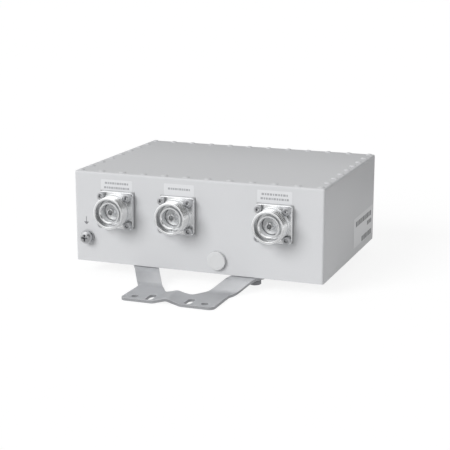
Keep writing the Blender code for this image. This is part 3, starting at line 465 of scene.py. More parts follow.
def shaped(rows, angle):
    """Grid of rows (radius, level) round Z, each of which may change with the angle."""
    radii = np.stack([np.broadcast_to(radius, angle.shape) for radius, level in rows])
    levels = np.stack([np.broadcast_to(level, angle.shape) for radius, level in rows])
    return np.stack([radii * np.cos(angle), radii * np.sin(angle), levels], axis=-1)


def rounded_plate(half_x, half_y, corner, rows, steps=8):
    """Grid of a rectangular plate with round corners; each row is an (inset, level).

    A corner's points are its centre plus (corner radius - inset) times the unit circle.
    """
    quarter = np.linspace(0, math.pi / 2, steps + 1)
    angle = np.concatenate([quarter + turn * math.pi / 2 for turn in range(4)])
    side_x = np.repeat([1, -1, -1, 1], steps + 1)
    side_y = np.repeat([1, 1, -1, -1], steps + 1)
    rows = np.asarray(rows, float)
    radius = corner - rows[:, :1]
    return np.stack([side_x * (half_x - corner) + radius * np.cos(angle),
                     side_y * (half_y - corner) + radius * np.sin(angle),
                     rows[:, 1:2] + 0 * angle], axis=-1)


def on_front(points, x, z):
    """Points (across, up, out) carried from the front face's plane to a place on it."""
    return np.stack([x + points[..., 0], box_front - points[..., 2], z + points[..., 1]], axis=-1)


def on_right(points, y, z):
    """Points (across, up, out) carried to a place on the right side of the box."""
    return np.stack([box_right + points[..., 2], y + points[..., 0], z + points[..., 1]], axis=-1)


def moved(points, x=0.0, y=0.0, z=0.0):
    """Points shifted along the axes."""
    return points + np.array((x, y, z))


def turned_half(points):
    """Points turned half way round the upright axis of the box."""
    return points * np.array((-1, -1, 1))


place_on = {"front": on_front, "right": on_right}


def middle_of(node):
    """Middle of a CAD node's box."""
    low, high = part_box(node)
    return (low + high) / 2


def add_piece(name, mesh, finish, slot, *nodes):
    """Put a mesh in the scene as a piece that stands for CAD nodes.

    Where finish is None, the mesh keeps the finishes that it has.
    """
    piece = bpy.data.objects.new(name, mesh)
    bpy.context.scene.collection.objects.link(piece)
    if finish:
        mesh.materials.clear()
        mesh.materials.append(finish)
    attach(piece, body)
    if nodes:
        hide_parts(*nodes)
    return piece


def dress_node(node, finish):
    """Give a CAD node that stays its procedural finish."""
    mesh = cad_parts[node].data
    mesh.materials.clear()
    mesh.materials.append(finish)


# Finishes

def add_node(tree, kind, values=None, links=None, **settings):
    """Add a shader node with its settings, socket values and links."""
    node = tree.nodes.new(kind)
    for name, value in settings.items():
        setattr(node, name, value)
    for name, value in (values or {}).items():
        node.inputs[name].default_value = value
    for name, source in (links or {}).items():
        tree.links.new(source, node.inputs[name])
    return node


def new_finish(name, base, roughness, metallic=0.0):
    """A material with its own Principled shader."""
    made = bpy.data.materials.new(name)
    made.use_nodes = True
    shader = made.node_tree.nodes["Principled BSDF"]
    shader.inputs["Base Color"].default_value = (*base, 1)
    shader.inputs["Metallic"].default_value = metallic
    shader.inputs["Roughness"].default_value = roughness
    return made, made.node_tree, shader


def made_once(name):
    """Decorator of a finish that is made at its first use and found by its name after that."""
    def keeper(make):
        @functools.wraps(make)
        def finish(settings):
            return bpy.data.materials.get(name) or make(name, settings)
        return finish
    return keeper


def object_pattern(tree, grain, squeeze=(1, 1, 1), detail=2.0):
    """Noise in object coordinates with grains of a real size, longer where squeeze is under 1."""
    coordinates = add_node(tree, "ShaderNodeTexCoord")
    mapping = add_node(tree, "ShaderNodeMapping", {"Scale": squeeze},
                       {"Vector": coordinates.outputs["Object"]})
    return add_node(tree, "ShaderNodeTexNoise", {"Scale": 1 / grain, "Detail": detail},
                    {"Vector": mapping.outputs["Vector"]})


def add_relief(tree, shader, pattern, strength, depth):
    """Bumps of a real depth that follow a pattern."""
    bump = add_node(tree, "ShaderNodeBump", {"Strength": strength, "Distance": depth},
                    {"Height": pattern.outputs["Fac"]})
    tree.links.new(bump.outputs["Normal"], shader.inputs["Normal"])


def vary_roughness(tree, shader, pattern, base, below, above):
    """Roughness that wanders from below its base to above it with a pattern."""
    spread = add_node(tree, "ShaderNodeMapRange", {"To Min": base - below, "To Max": base + above},
                      {"Value": pattern.outputs["Fac"]})
    tree.links.new(spread.outputs["Result"], shader.inputs["Roughness"])


def vary_colour(tree, shader, pattern, base, spread):
    """Colour that wanders a little to either side of its base with a pattern."""
    darker = tuple(channel * (1 - spread) for channel in base)
    lighter = tuple(min(channel * (1 + spread), 1) for channel in base)
    mix = add_node(tree, "ShaderNodeMix", {}, {"Factor": pattern.outputs["Fac"]},
                   data_type="RGBA")
    mix.inputs["A"].default_value = (*darker, 1)
    mix.inputs["B"].default_value = (*lighter, 1)
    tree.links.new(mix.outputs["Result"], shader.inputs["Base Color"])


@made_once("grey_powder_coat_satin")
def powder_coat(name, settings):
    """Light grey polyester powder coat: a satin skin with a fine orange peel."""
    base = tuple(settings.paint)
    made, tree, shader = new_finish(name, base, settings.paint_roughness)
    # The orange peel's dimples are 2 mm across and a few hundredths of a millimetre deep
    peel = object_pattern(tree, grain=2 * mm, detail=1.0)
    add_relief(tree, shader, peel, strength=0.25, depth=0.05 * mm)
    # The coat's tone drifts by a hundredth over some 60 mm
    drift = object_pattern(tree, grain=62.5 * mm, detail=1.0)
    vary_colour(tree, shader, drift, base, spread=0.012)
    vary_roughness(tree, shader, drift, settings.paint_roughness, below=0.05, above=0.05)
    return made


def white_bronze(settings, socket, x, z):
    """White bronze plated over turned brass: bright, with turning rings round the axis."""
    # The plating is finely pitted and scatters some of the light, so it is not all metal
    made, tree, shader = new_finish(f"white_bronze_turned_{socket}", tuple(settings.plating),
                                    settings.plating_roughness, metallic=0.82)
    coordinates = add_node(tree, "ShaderNodeTexCoord")
    centred = add_node(tree, "ShaderNodeMapping", {"Location": (-x, 0, -z)},
                       {"Vector": coordinates.outputs["Object"]})
    # A lathe leaves rings about 0.1 mm apart; they are drawn about 1 mm apart to show.
    # The texture has a ring every 2 pi / 20 of its own units.
    ring_spacing = 0.98 * mm
    rings = add_node(tree, "ShaderNodeTexWave",
                     {"Scale": math.pi / 10 / ring_spacing, "Distortion": 0.4, "Detail": 1},
                     {"Vector": centred.outputs["Vector"]}, wave_type="RINGS",
                     rings_direction="Y")
    add_relief(tree, shader, rings, strength=0.05, depth=0.01 * mm)
    # Handling leaves patches some 4 mm wide that are a little brighter or duller
    patches = object_pattern(tree, grain=3.85 * mm)
    vary_roughness(tree, shader, patches, settings.plating_roughness, below=0.02, above=0.03)
    return made


@made_once("stainless_cold_headed")
def fastener_steel(name, settings):
    """Cold-headed stainless steel: bright, with faint tool marks."""
    made, tree, shader = new_finish(name, tuple(settings.steel), settings.steel_roughness, metallic=1)
    # The dies leave marks some 0.1 mm wide; they are drawn about 1 mm wide to show
    marks = object_pattern(tree, grain=1.11 * mm)
    vary_roughness(tree, shader, marks, settings.steel_roughness, below=0.06, above=0.1)
    add_relief(tree, shader, marks, strength=0.15, depth=0.02 * mm)
    return made


@made_once("stainless_forged_dull")
def bolt_finish_and_shade(name, settings):
    """Stainless bolt made by hot forging, and its stamped washer: pickling leaves them dull. Their
    dark grey is painted shade, for they stand in the shade under the box.
    """
    base = tuple(settings.bolt_tone_and_shade)
    made, tree, shader = new_finish(name, base, settings.forged_roughness, metallic=1)
    # Scale comes off in specks of just under 1 mm
    skin = object_pattern(tree, grain=0.91 * mm)
    vary_colour(tree, shader, skin, base, spread=0.1)
    add_relief(tree, shader, skin, strength=0.2, depth=0.03 * mm)
    return made


@made_once("stainless_brushed_sheet")
def brushed_sheet(name, settings):
    """Brushed stainless sheet: satin, with a short grain across the bracket."""
    base = tuple(settings.sheet)
    made, tree, shader = new_finish(name, base, settings.sheet_roughness, metallic=1)
    # The grain is some 0.1 mm wide and 10 mm long; it is drawn 0.6 mm wide to show
    grain = object_pattern(tree, grain=0.625 * mm, squeeze=(0.05, 1, 1), detail=3.0)
    vary_roughness(tree, shader, grain, settings.sheet_roughness, below=0.08, above=0.12)
    add_relief(tree, shader, grain, strength=0.2, depth=0.02 * mm)
    # Rolling and handling leave clouds about 11 mm wide
    vary_colour(tree, shader, object_pattern(tree, grain=11.1 * mm), base, spread=0.06)
    return made


@made_once("stainless_sheared_edge")
def sheared_edge_and_shade(name, settings):
    """Sheared and punched edge of the sheet: matt, and torn in streaks across the wall. Its dark tone
    is partly the torn metal and partly painted shade of the edges and the walls of the holes.
    """
    # The edge tone is partly the torn metal and partly painted shade of the edges and the walls of the
    # holes
    base = tuple(settings.sheared)
    # The torn metal scatters much of the light, so it is not all metal
    made, tree, shader = new_finish(name, base, settings.sheared_roughness, metallic=0.6)
    # The tears stand on end, some 0.1 mm apart; they are drawn 0.4 mm apart to show
    tears = object_pattern(tree, grain=0.4 * mm, squeeze=(1, 1, 0.1))
    add_relief(tree, shader, tears, strength=0.3, depth=0.03 * mm)
    vary_colour(tree, shader, tears, base, spread=0.15)
    return made


@made_once("silver_plating_satin")
def silver_plating(name, settings):
    """Silver plating over brass or aluminium: pale, satin, a little warm."""
    base = tuple(settings.silver)
    made, tree, shader = new_finish(name, base, settings.silver_roughness, metallic=1)
    # Tarnish starts in patches about 5 mm wide
    patches = object_pattern(tree, grain=5 * mm)
    vary_colour(tree, shader, patches, base, spread=0.04)
    vary_roughness(tree, shader, patches, settings.silver_roughness, below=0.04, above=0.08)
    return made


@made_once("fluoropolymer_turned")
def fluoropolymer(name, settings):
    """Turned white fluoropolymer: waxy, with soft turning marks.

    The marks are some 0.1 mm wide; they are drawn about 1.4 mm wide to show.
    """
    made, tree, shader = new_finish(name, tuple(settings.insulator), roughness=0.42)
    shader.inputs["IOR"].default_value = 1.35
    add_relief(tree, shader, object_pattern(tree, grain=1.43 * mm), strength=0.1, depth=0.02 * mm)
    return made


@made_once("silicone_rubber_moulded")
def seal_rubber(name, settings):
    """Moulded silicone rubber: matt and pale grey.

    The mould's skin is some 0.1 mm fine; it is drawn 0.8 mm wide to show.
    """
    made, tree, shader = new_finish(name, tuple(settings.rubber), roughness=0.7)
    add_relief(tree, shader, object_pattern(tree, grain=0.83 * mm), strength=0.2, depth=0.02 * mm)
    return made


@made_once("grey_plastic_moulded")
def moulded_cap(name, settings):
    """Moulded light grey plastic with a fine spark-eroded skin.

    The pits of the mould are some 0.1 mm wide; they are drawn 0.7 mm wide to show.
    """
    made, tree, shader = new_finish(name, tuple(settings.cap), roughness=0.42)
    add_relief(tree, shader, object_pattern(tree, grain=0.67 * mm), strength=0.15, depth=0.02 * mm)
    return made


@made_once("polyester_label_film")
def label_film(name, settings):
    """White polyester label film: smooth and a little glossy, with ripples about 8 mm wide."""
    made, tree, shader = new_finish(name, tuple(settings.film), roughness=0.35)
    add_relief(tree, shader, object_pattern(tree, grain=8.33 * mm), strength=0.1, depth=0.03 * mm)
    return made


def label_ink(name, base):
    """Screen-printed ink: a thin matt layer whose density wanders over half a millimetre."""
    made, tree, shader = new_finish(name, base, roughness=0.55)
    vary_colour(tree, shader, object_pattern(tree, grain=0.556 * mm), base, spread=0.12)
    return made


# Box

def housing_mesh():
    """The CAD housing with its doubles merged and its flat faces whole."""
    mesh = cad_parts["housing"].data.copy()
    bm = bmesh.new()
    bm.from_mesh(mesh)
    bmesh.ops.remove_doubles(bm, verts=bm.verts[:], dist=merge_distance)
    bmesh.ops.dissolve_limit(bm, angle_limit=math.radians(1), verts=bm.verts[:],
                             edges=bm.edges[:])
    bm.to_mesh(mesh)
    bm.free()
    return evened_mesh(closed_mesh(mesh, sharp=30))


def lid_mesh(lid):
    """Plate with rounded upright corners and a rounded upper edge, one arc on each."""
    half_x, half_y = lid_high.x, lid_high.y
    top = lid_high.z - lid.head_height
    base = housing_high.z + lid.seam
    # A narrow flat on either side of the round edge keeps the edge's shading to itself
    hold = 0.2 * mm
    arc = np.linspace(0, math.pi / 2, 6)
    edge = [(lid.edge_radius * (1 - math.cos(a)), top - lid.edge_radius * (1 - math.sin(a)))
            for a in arc]
    rows = [(0, base), (0, edge[0][1] - hold), *edge, (edge[-1][0] + hold, top)]
    plate = rounded_plate(half_x, half_y, lid.corner_radius, rows)
    return evened_mesh(mesh_of("lid_plate", [sheet_of(plate)]))


def lid_head_places(lid):
    """Centres of the lid screws, evenly spaced along the four edges."""
    half_x = lid_high.x - lid.head_inset
    half_y = lid_high.y - lid.head_inset
    along_x = np.linspace(-half_x, half_x, lid.heads_along_front)
    along_y = np.linspace(-half_y, half_y, lid.heads_along_side)[1:-1]
    places = [(x, side * half_y) for x in along_x for side in (-1, 1)]
    return places + [(side * half_x, y) for y in along_y for side in (-1, 1)]


def lid_heads_mesh(lid):
    """Low heads blurred by paint: the crown falls by the cube of the distance from its middle."""
    top = lid_high.z - lid.head_height
    distance = np.linspace(1, 0, 10)
    radius = (lid.head_radius + lid.paint_foot) * distance
    height = lid.crown_height * (1 - distance ** 3)
    profile = np.column_stack([np.append(0, radius), np.append(0, height)])
    head = revolved(profile, 24)
    return mesh_of("lid_screw_heads", [sheet_of(moved(head, x, y, top + skin_gap))
                                       for x, y in lid_head_places(lid)], sharp=50)


# Sockets

def socket_angles(socket):
    """Angles round a socket, closest together across the four scallops."""
    centre = socket.hole_spacing / math.sqrt(2)
    half = math.acos((socket.collar_radius ** 2 + centre ** 2 - socket.scallop_radius ** 2)
                     / (2 * socket.collar_radius * centre))
    parts = []
    for quarter in range(4):
        middle = math.pi / 4 + quarter * math.pi / 2
        parts.append(np.linspace(middle - half, middle + half, 12, endpoint=False))
        parts.append(np.linspace(middle + half, middle + math.pi / 2 - half, 30, endpoint=False))
    return np.concatenate(parts)


def square_radius(angle, half, corner):
    """Distance from the middle to the edge of a square with round corners."""
    across = np.abs(np.cos(angle))
    up = np.abs(np.sin(angle))
    straight = half / np.maximum(across, up)
    inner = half - corner
    reach = inner * (across + up)
    root = np.sqrt(np.maximum(reach ** 2 - 2 * inner ** 2 + corner ** 2, 0))
    return np.where(straight * np.minimum(across, up) <= inner, straight, reach + root)


def scalloped_radius(angle, radius, centre, scallop):
    """A circle less the four screw scallops, whose near sides are circles about the screws."""
    away = np.mod(angle, math.pi / 2) - math.pi / 4
    inside = scallop ** 2 - (centre * np.sin(away)) ** 2
    near = centre * np.cos(away) - np.sqrt(np.maximum(inside, 0))
    return np.where(inside > 0, np.minimum(radius, near), radius)


def thread_strip(socket, angle):
    """Helical strip of the outside thread.

    A row keeps its place in the thread's section and climbs one pitch a turn. Its radius is
    the crest less the depth times a trapezium wave with 60 degree flanks, and never more than
    a 45 degree cone at either end, where the levels are held.
    """
    steps = 12                # rows to a pitch
    crest, flank = 1 / 16, 5 / 16     # half the crest's and a flank's share of the pitch
    angle = np.append(angle, angle[0] + 2 * math.pi)
    turn = (angle - angle[0]) / (2 * math.pi)
    turns = math.ceil((socket.rim - socket.thread_back) / socket.thread_pitch) + 1
    row = np.arange(turns * steps + 1)[:, None]
    climb = row / steps - 1 + turn
    level = np.clip(socket.thread_back + socket.thread_pitch * climb,
                    socket.thread_back, socket.rim)
    from_crest = np.abs(np.mod(row / steps + 0.5, 1) - 0.5)
    wave = np.clip((from_crest - crest) / flank, 0, 1)
    root = socket.thread_radius - socket.thread_depth
    cone = root + np.minimum(level - socket.thread_back, socket.rim - level)
    radius = np.minimum(socket.thread_radius - socket.thread_depth * wave, cone)
    return np.stack([radius * np.cos(angle), radius * np.sin(angle), level], axis=-1)


def barrel_grid(socket, angle):
    """Rows from the rim, through the mouth, round the bore and flange, to the thread's back."""
    s = socket
    fine = 0.3 * mm           # chamfer in the mouth
    centre = s.hole_spacing / math.sqrt(2)
    half, corner = s.flange_size / 2, s.flange_corner
    outer = square_radius(angle, half, corner)
    inner = square_radius(angle, half - s.edge, corner - s.edge)
    collar = scalloped_radius(angle, s.collar_radius, centre, s.scallop_radius)
    root = s.thread_radius - s.thread_depth
    rows = [(root, s.rim), (s.mouth_radius + s.edge, s.rim), (s.mouth_radius, s.rim - s.edge),
            (s.mouth_radius, s.mouth_floor + fine), (s.mouth_radius - fine, s.mouth_floor),
            (s.sleeve_radius + fine, s.mouth_floor), (s.sleeve_radius, s.mouth_floor + fine),
            (s.sleeve_radius, s.sleeve_front - fine), (s.sleeve_radius - fine, s.sleeve_front),
            (s.bore_radius + s.lead_in, s.sleeve_front),
            (s.bore_radius, s.sleeve_front - s.lead_in),
            (s.bore_radius, s.flange_back), (inner, s.flange_back),
            (outer, s.flange_back + s.edge), (outer, s.flange_front - s.edge),
            (inner, s.flange_front), (collar, s.flange_front),
            (collar, s.collar_front - s.edge), (collar - s.edge, s.collar_front),
            (s.undercut_radius, s.collar_front), (s.undercut_radius, s.thread_back),
            (root, s.thread_back)]
    return shaped(rows, angle)


def flange_corners(socket):
    """The four screw places round a socket's axis, in the order of the CAD screws."""
    half = socket.hole_spacing / 2
    return [(-half, half), (half, half), (half, -half), (-half, -half)]


def socket_mesh(name, socket, x, z):
    """Square flange, collar, thread and sleeve in one piece, with its four screw holes."""
    angle = socket_angles(socket)
    sheets = [sheet_of(on_front(barrel_grid(socket, angle), x, z), capped=False),
              sheet_of(on_front(thread_strip(socket, angle), x, z), around=False, capped=False)]
    solid = mesh_of(name, sheets, sharp=32)
    past = 1 * mm             # how far a hole's cutter stands out at either end
    low, high = socket.flange_back - past, socket.flange_front + past
    hole = revolved([(0, low), (socket.hole_radius, low), (socket.hole_radius, high), (0, high)], 32)
    holes = mesh_of("holes", [sheet_of(on_front(moved(hole, *place), x, z))
                              for place in flange_corners(socket)])
    return cut_mesh(solid, holes, sharp=32)


def insulator_mesh(name, core, x, z):
    """Long ring round the contact, with a shallow dish in its front face."""
    outer, inner = core.insulator_radius, core.insulator_bore
    front, back = core.insulator_front, core.insulator_back
    edge = 0.3 * mm
    middle = (outer + inner) / 2
    dish_mouth, dish_floor, dish_depth = 1.2 * mm, 0.8 * mm, 0.6 * mm
    profile = rounded([(outer, back, 0), (outer, front, edge),
                       (middle + dish_mouth, front, edge),
                       (middle + dish_floor, front - dish_depth, edge),
                       (middle - dish_floor, front - dish_depth, edge),
                       (middle - dish_mouth, front, edge), (inner, front, edge),
                       (inner, back, 0)], steps=3)
    return mesh_of(name, [sheet_of(on_front(revolved(profile, 64), x, z), along=True)])


def contact_mesh(name, core, x, z):
    """Sprung tube with four fingers in front of a solid shank."""
    edge = 0.35 * mm
    profile = rounded([(0, core.tip - core.bore_depth, 0),
                       (core.bore, core.tip - core.bore_depth, 0),
                       (core.bore, core.tip, edge), (core.radius, core.tip, 2 * edge),
                       (core.radius, core.shoulder, 0), (core.shank, core.shoulder, 0),
                       (core.shank, core.tail, edge), (0, core.tail, 0)], steps=4)
    solid = mesh_of(name, [sheet_of(on_front(revolved(profile, 64), x, z))])
    half_long, half_wide = 2 * core.radius, core.slot_width / 2
    levels = (core.tip - core.slot_depth, core.tip + 1 * mm)
    turn = math.pi / 16       # the fingers of a real contact stand at no set angle
    for number in range(2):
        across = np.array([(-half_long, -half_wide), (half_long, -half_wide),
                           (half_long, half_wide), (-half_long, half_wide)])
        angle = turn + number * math.pi / 2
        spin = np.array([(math.cos(angle), math.sin(angle)), (-math.sin(angle), math.cos(angle))])
        flat = across @ spin
        slot = np.stack([np.column_stack([flat, np.full(4, level)]) for level in levels])
        solid = cut_mesh(solid, mesh_of("slot", [sheet_of(on_front(slot, x, z))]))
    return solid


def hexagon(angle, corner_radius):
    """Distance from the middle to the edge of a hexagon with a given corner radius."""
    flats = corner_radius * math.cos(math.pi / 6)
    return flats / np.cos(np.mod(angle, math.pi / 3) - math.pi / 6)


def flange_screw_mesh(name, screw, x, z):
    """Socket-head cap screw: knurled head with a hexagon socket and a plain shank.

    The knurled radius is the head's less the knurls' depth times a cosine wave round the head.
    """
    angle = np.linspace(0, 2 * math.pi, 144, endpoint=False)
    top = screw.head_base + screw.head_height
    knurl = screw.head_radius - screw.knurl_depth * (0.5 + 0.5 * np.cos(screw.knurls * angle))
    plain = screw.head_radius - screw.knurl_depth
    key = hexagon(angle, screw.key_radius)
    mouth = screw.key_radius + 0.15 * mm
    floor = top - screw.key_depth
    cone, floor_step, edge = 0.5 * mm, 0.1 * mm, 0.35 * mm
    rows = [(0, floor - cone), (0.9 * key, floor), (key, floor + floor_step),
            (key, top - edge), (mouth, top), (plain - edge, top),
            (plain - 0.3 * edge, top - 0.3 * edge), (plain, top - edge),
            (knurl, top - 1.5 * edge), (knurl, screw.head_base + edge),
            (plain, screw.head_base), (screw.shank, screw.head_base),
            (screw.shank, -screw.reach), (0, -screw.reach)]
    return mesh_of(name, [sheet_of(on_front(shaped(rows, angle), x, z))], sharp=32)


# Earth terminal and vent

def ring_profile(inner, outer, low, high, edge):
    """Closed half section of a washer with broken edges."""
    return rounded([(outer, low, edge), (outer, high, edge), (inner, high, edge),
                    (inner, low, edge)], closed=True, steps=3)


def spring_washer_grid(earth):
    """Split ring: a square section carried round most of a turn while it climbs by its set."""
    section = ring_profile(earth.washer_bore, earth.spring_radius, earth.spring_back,
                           earth.spring_front, 0.15 * mm)
    split, half_gap = 0.6, 0.07   # angles to the middle of the split and across half of it
    angle = np.linspace(split + half_gap, split + 2 * math.pi - half_gap, 72)[:, None]
    climb = earth.spring_set * ((angle - angle.mean()) / math.pi) / 2
    return np.stack([section[:, 0] * np.cos(angle), section[:, 0] * np.sin(angle),
                     section[:, 1] + climb], axis=-1)


def recess_bars(earth, top, x, z):
    """Two crossed bars, narrower at the foot, that cut the recess into a pan head's crown."""
    half_long, half_wide = earth.recess_length / 2, earth.recess_width / 2
    foot, mouth = 0.55, 1.1       # a bar's size at its foot and above the crown, as shares
    above = 0.5 * mm
    bars = []
    for half_x, half_y in ((half_long, half_wide), (half_wide, half_long)):
        corners = np.array([(-half_x, -half_y), (half_x, -half_y), (half_x, half_y),
                            (-half_x, half_y)])
        bar = np.stack([np.column_stack([foot * corners, np.full(4, top - earth.recess_depth)]),
                        np.column_stack([mouth * corners, np.full(4, top + above)])])
        bars.append(mesh_of("bar", [sheet_of(on_front(bar, x, z))]))
    return bars


def pan_head_mesh(name, earth, x, z):
    """Cross-recessed pan head: a flat crown that rounds over into an upright side."""
    base, top = earth.head_base, earth.head_base + earth.head_height
    flat, shoulder = 0.62 * earth.head_radius, top - 0.42 * earth.head_height
    crown_round, shoulder_round, edge, point = 3 * mm, 1.6 * mm, 0.3 * mm, 0.6 * mm
    profile = rounded([(0, top, 0), (flat, top, crown_round),
                       (earth.head_radius, shoulder, shoulder_round),
                       (earth.head_radius, base, edge), (earth.screw_radius, base, 0),
                       (earth.screw_radius, -earth.reach, point), (0, -earth.reach, 0)], steps=6)
    solid = mesh_of(name, [sheet_of(on_front(revolved(profile, 64), x, z))])
    for bar in recess_bars(earth, top, x, z):
        solid = cut_mesh(solid, bar)
    return solid


def vent_mesh(name, vent, x, z):
    """Round cap with a soft edge, a faint raised ring on its face, and a bored shank."""
    ring, ring_half, ring_rise = vent.ring_radius, 0.5 * mm, 0.1 * mm
    front, back = vent.cap_front, vent.cap_back
    profile = rounded([(0, front, 0), (ring - ring_half, front, 0.2 * mm),
                       (ring, front + ring_rise, 0.3 * mm), (ring + ring_half, front, 0.2 * mm),
                       (vent.cap_radius, front, 0.6 * mm), (vent.cap_radius, back, 0.2 * mm),
                       (vent.shank, back, 0), (vent.shank, -vent.reach, 0.3 * mm),
                       (vent.bore, -vent.reach, 0), (vent.bore, -back, 0), (0, -back, 0)], steps=5)
    return mesh_of(name, [sheet_of(on_front(revolved(profile, 96), x, z))])


# Brackets

def bracket_corners(b):
    """Corners (x, y, radius) of the right half, front to back, with lengths from the box."""
    base = np.array((b.arm_place, -b.lower_fold))
    bolt = np.array((b.bolt_place, b.bolt_setback))
    along = (bolt - base) / np.linalg.norm(bolt - base)
    across = np.array((along[1], -along[0])) * b.arm_width / 2
    outer, inner = base + across, base - across
    hip = outer + along * (b.half_width - outer[0]) / along[0]
    crotch = inner + along * (-b.saddle_end - inner[1]) / along[1]
    end = bolt + along * b.arm_width / 2
    # A little under half the width, so that the two arcs at the end don't meet
    round_end = 0.98 * b.arm_width / 2
    return [(b.half_width, -b.reach, b.foot_corner), (*hip, b.hip),
            (*(end + across), round_end), (*(end - across), round_end), (*crotch, b.crotch)]


def slot_outline(x, y, width, length, steps):
    """A slot with round ends along Y; a length equal to the width gives a circle."""
    angle = 2 * math.pi * (np.arange(steps) + 0.5) / steps
    shift = np.copysign((length - width) / 2, np.sin(angle))
    return np.column_stack([x + width / 2 * np.cos(angle), y + width / 2 * np.sin(angle) + shift])


def ramp(distance, half):
    """Climb past a fold: none before it, one in one after it, a parabola across it."""
    inside = (np.clip(distance, -half, half) + half) ** 2 / (4 * half)
    return np.where(distance > half, distance, inside)


def bracket_level(b, x, y):
    """Height of the underside of the folded sheet over a point of its outline."""
    climb = ramp(y + b.lower_fold, b.fold_half) - ramp(y + b.upper_fold, b.fold_half)
    ridge = (ramp(x + b.saddle_half_width, b.ridge_half) - 2 * ramp(x, b.ridge_half)
             + ramp(x - b.saddle_half_width, b.ridge_half))
    return (b.rise / (b.lower_fold - b.upper_fold) * climb
            + b.saddle_rise / b.saddle_half_width * ridge)


def bracket_sheet(b):
    """Flat outline with its holes, cut along many lines in each fold, and bent."""
    right = bracket_corners(b)
    corners = right + [(-x, y, radius) for x, y, radius in reversed(right)]
    outlines = [rounded(corners, closed=True, steps=10)]
    holes = ((b.wall_hole_x, -b.wall_hole_y, 2 * b.wall_hole, 2 * b.wall_hole),
             (b.slot_x, -b.slot_y, b.slot_width, b.slot_length),
             (b.bolt_place, b.bolt_setback, 2 * b.bolt_hole, 2 * b.bolt_hole))
    for side in (-1, 1):
        outlines += [slot_outline(side * x, y, width, long, 28) for x, y, width, long in holes]
    bm = bmesh.new()
    for outline in outlines:
        ring = [bm.verts.new((x, y, 0)) for x, y in outline]
        for first, second in zip(ring, ring[1:] + ring[:1]):
            bm.edges.new((first, second))
    bmesh.ops.triangle_fill(bm, use_beauty=True, edges=bm.edges[:], normal=(0, 0, 1))
    shifts = np.linspace(-1, 1, 9)
    lines = [((0, -fold + shift * b.fold_half, 0), (0, 1, 0))
             for fold in (b.lower_fold, b.upper_fold) for shift in shifts]
    lines += [((fold + shift * b.ridge_half, 0, 0), (1, 0, 0))
              for fold in (-b.saddle_half_width, 0, b.saddle_half_width) for shift in shifts]
    for point, normal in lines:
        bmesh.ops.bisect_plane(bm, geom=bm.verts[:] + bm.edges[:] + bm.faces[:],
                               plane_co=point, plane_no=normal, dist=0.0001 * mm)
    bmesh.ops.triangulate(bm, faces=bm.faces[:])
    mesh = bpy.data.meshes.new("bracket_sheet")
    bm.to_mesh(mesh)
    bm.free()
    flat = np.zeros(3 * len(mesh.vertices))
    mesh.vertices.foreach_get("co", flat)
    flat = flat.reshape(-1, 3)
    flat[:, 2] = bracket_level(b, flat[:, 0], flat[:, 1])
    mesh.vertices.foreach_set("co", flat.ravel())
    if mesh.polygons[0].normal.z < 0:
        mesh.flip_normals()
    return mesh


def bracket_mesh(b, name, side, faces, edges):
    """The bent sheet given its thickness and broken edges, on the front (-1) or the back (1)."""
    mesh = bracket_sheet(b)
    for finish in (faces, edges):
        mesh.materials.append(finish)
    holder = bpy.data.objects.new(name, mesh)
    bpy.context.scene.collection.objects.link(holder)
    wall = holder.modifiers.new("wall", "SOLIDIFY")
    wall.thickness = b.sheet
    wall.offset = 1
    wall.use_even_offset = True
    wall.material_offset_rim = 1      # the edges take the second finish
    broken = holder.modifiers.new("broken_edges", "BEVEL")
    broken.width = b.edge
    broken.segments = 2
    broken.limit_method = "ANGLE"
    broken.angle_limit = math.radians(40)
    broken.material = 0               # and the broken edges the first
    made = applied_mesh(holder, name)
    points = np.zeros(3 * len(made.vertices))
    made.vertices.foreach_get("co", points)
    points = moved(points.reshape(-1, 3), x=-b.offset, y=box_front)
    if side > 0:
        points = turned_half(points)
    made.vertices.foreach_set("co", points.ravel())
    return evened_mesh(closed_mesh(made, sharp=50))


def hex_bolt_mesh(name, bolt, x, y, low, high):
    """Hexagon bolt, head down: flats meet a 30 degree chamfer, then a washer face and shank."""
    angle = np.linspace(0, 2 * math.pi, 144, endpoint=False)
    hexagonal = hexagon(angle, bolt.flats / math.sqrt(3))
    crown, collar = 0.47 * bolt.flats, 0.46 * bolt.flats
    chamfer = np.maximum(hexagonal - crown, 0) * math.tan(math.radians(30))
    crown_step, collar_height, point = 0.02 * mm, 0.3 * mm, 0.6 * mm
    seat = low + bolt.head_height
    rows = [(0, low), (crown, low), (hexagonal, low + chamfer + crown_step),
            (hexagonal, seat - collar_height), (collar, seat - collar_height),
            (collar, seat), (bolt.shank, seat), (bolt.shank, high - point),
            (bolt.shank - point, high), (0, high)]
    return mesh_of(name, [sheet_of(moved(shaped(rows, angle), x, y))], sharp=28)


def bolt_washer_mesh(name, bolt, x, y, low, high):
    """Flat washer round a bolt's axis."""
    profile = ring_profile(bolt.washer_bore, bolt.washer_radius, low, high, 0.2 * mm)
    return mesh_of(name, [sheet_of(moved(revolved(profile, 64), x, y), along=True)])


# Labels

def film_sheet(place, across, up, half_across, half_up, out, thickness, corner):
    """A thin plate with round corners on a face of the box."""
    plate = rounded_plate(half_across, half_up, corner, [(0, out), (0, out + thickness)], steps=4)
    return sheet_of(place(plate, across, up))


def label_films_mesh(settings):
    """The films of all the labels."""
    films = [film_sheet(place_on[face], across * mm, box_base + up * mm, half_across * mm,
                        half_up * mm, skin_gap, settings.film_thickness, settings.film_corner)
             for face, across, up, half_across, half_up, _ in labels]
    return mesh_of("label_films", films)


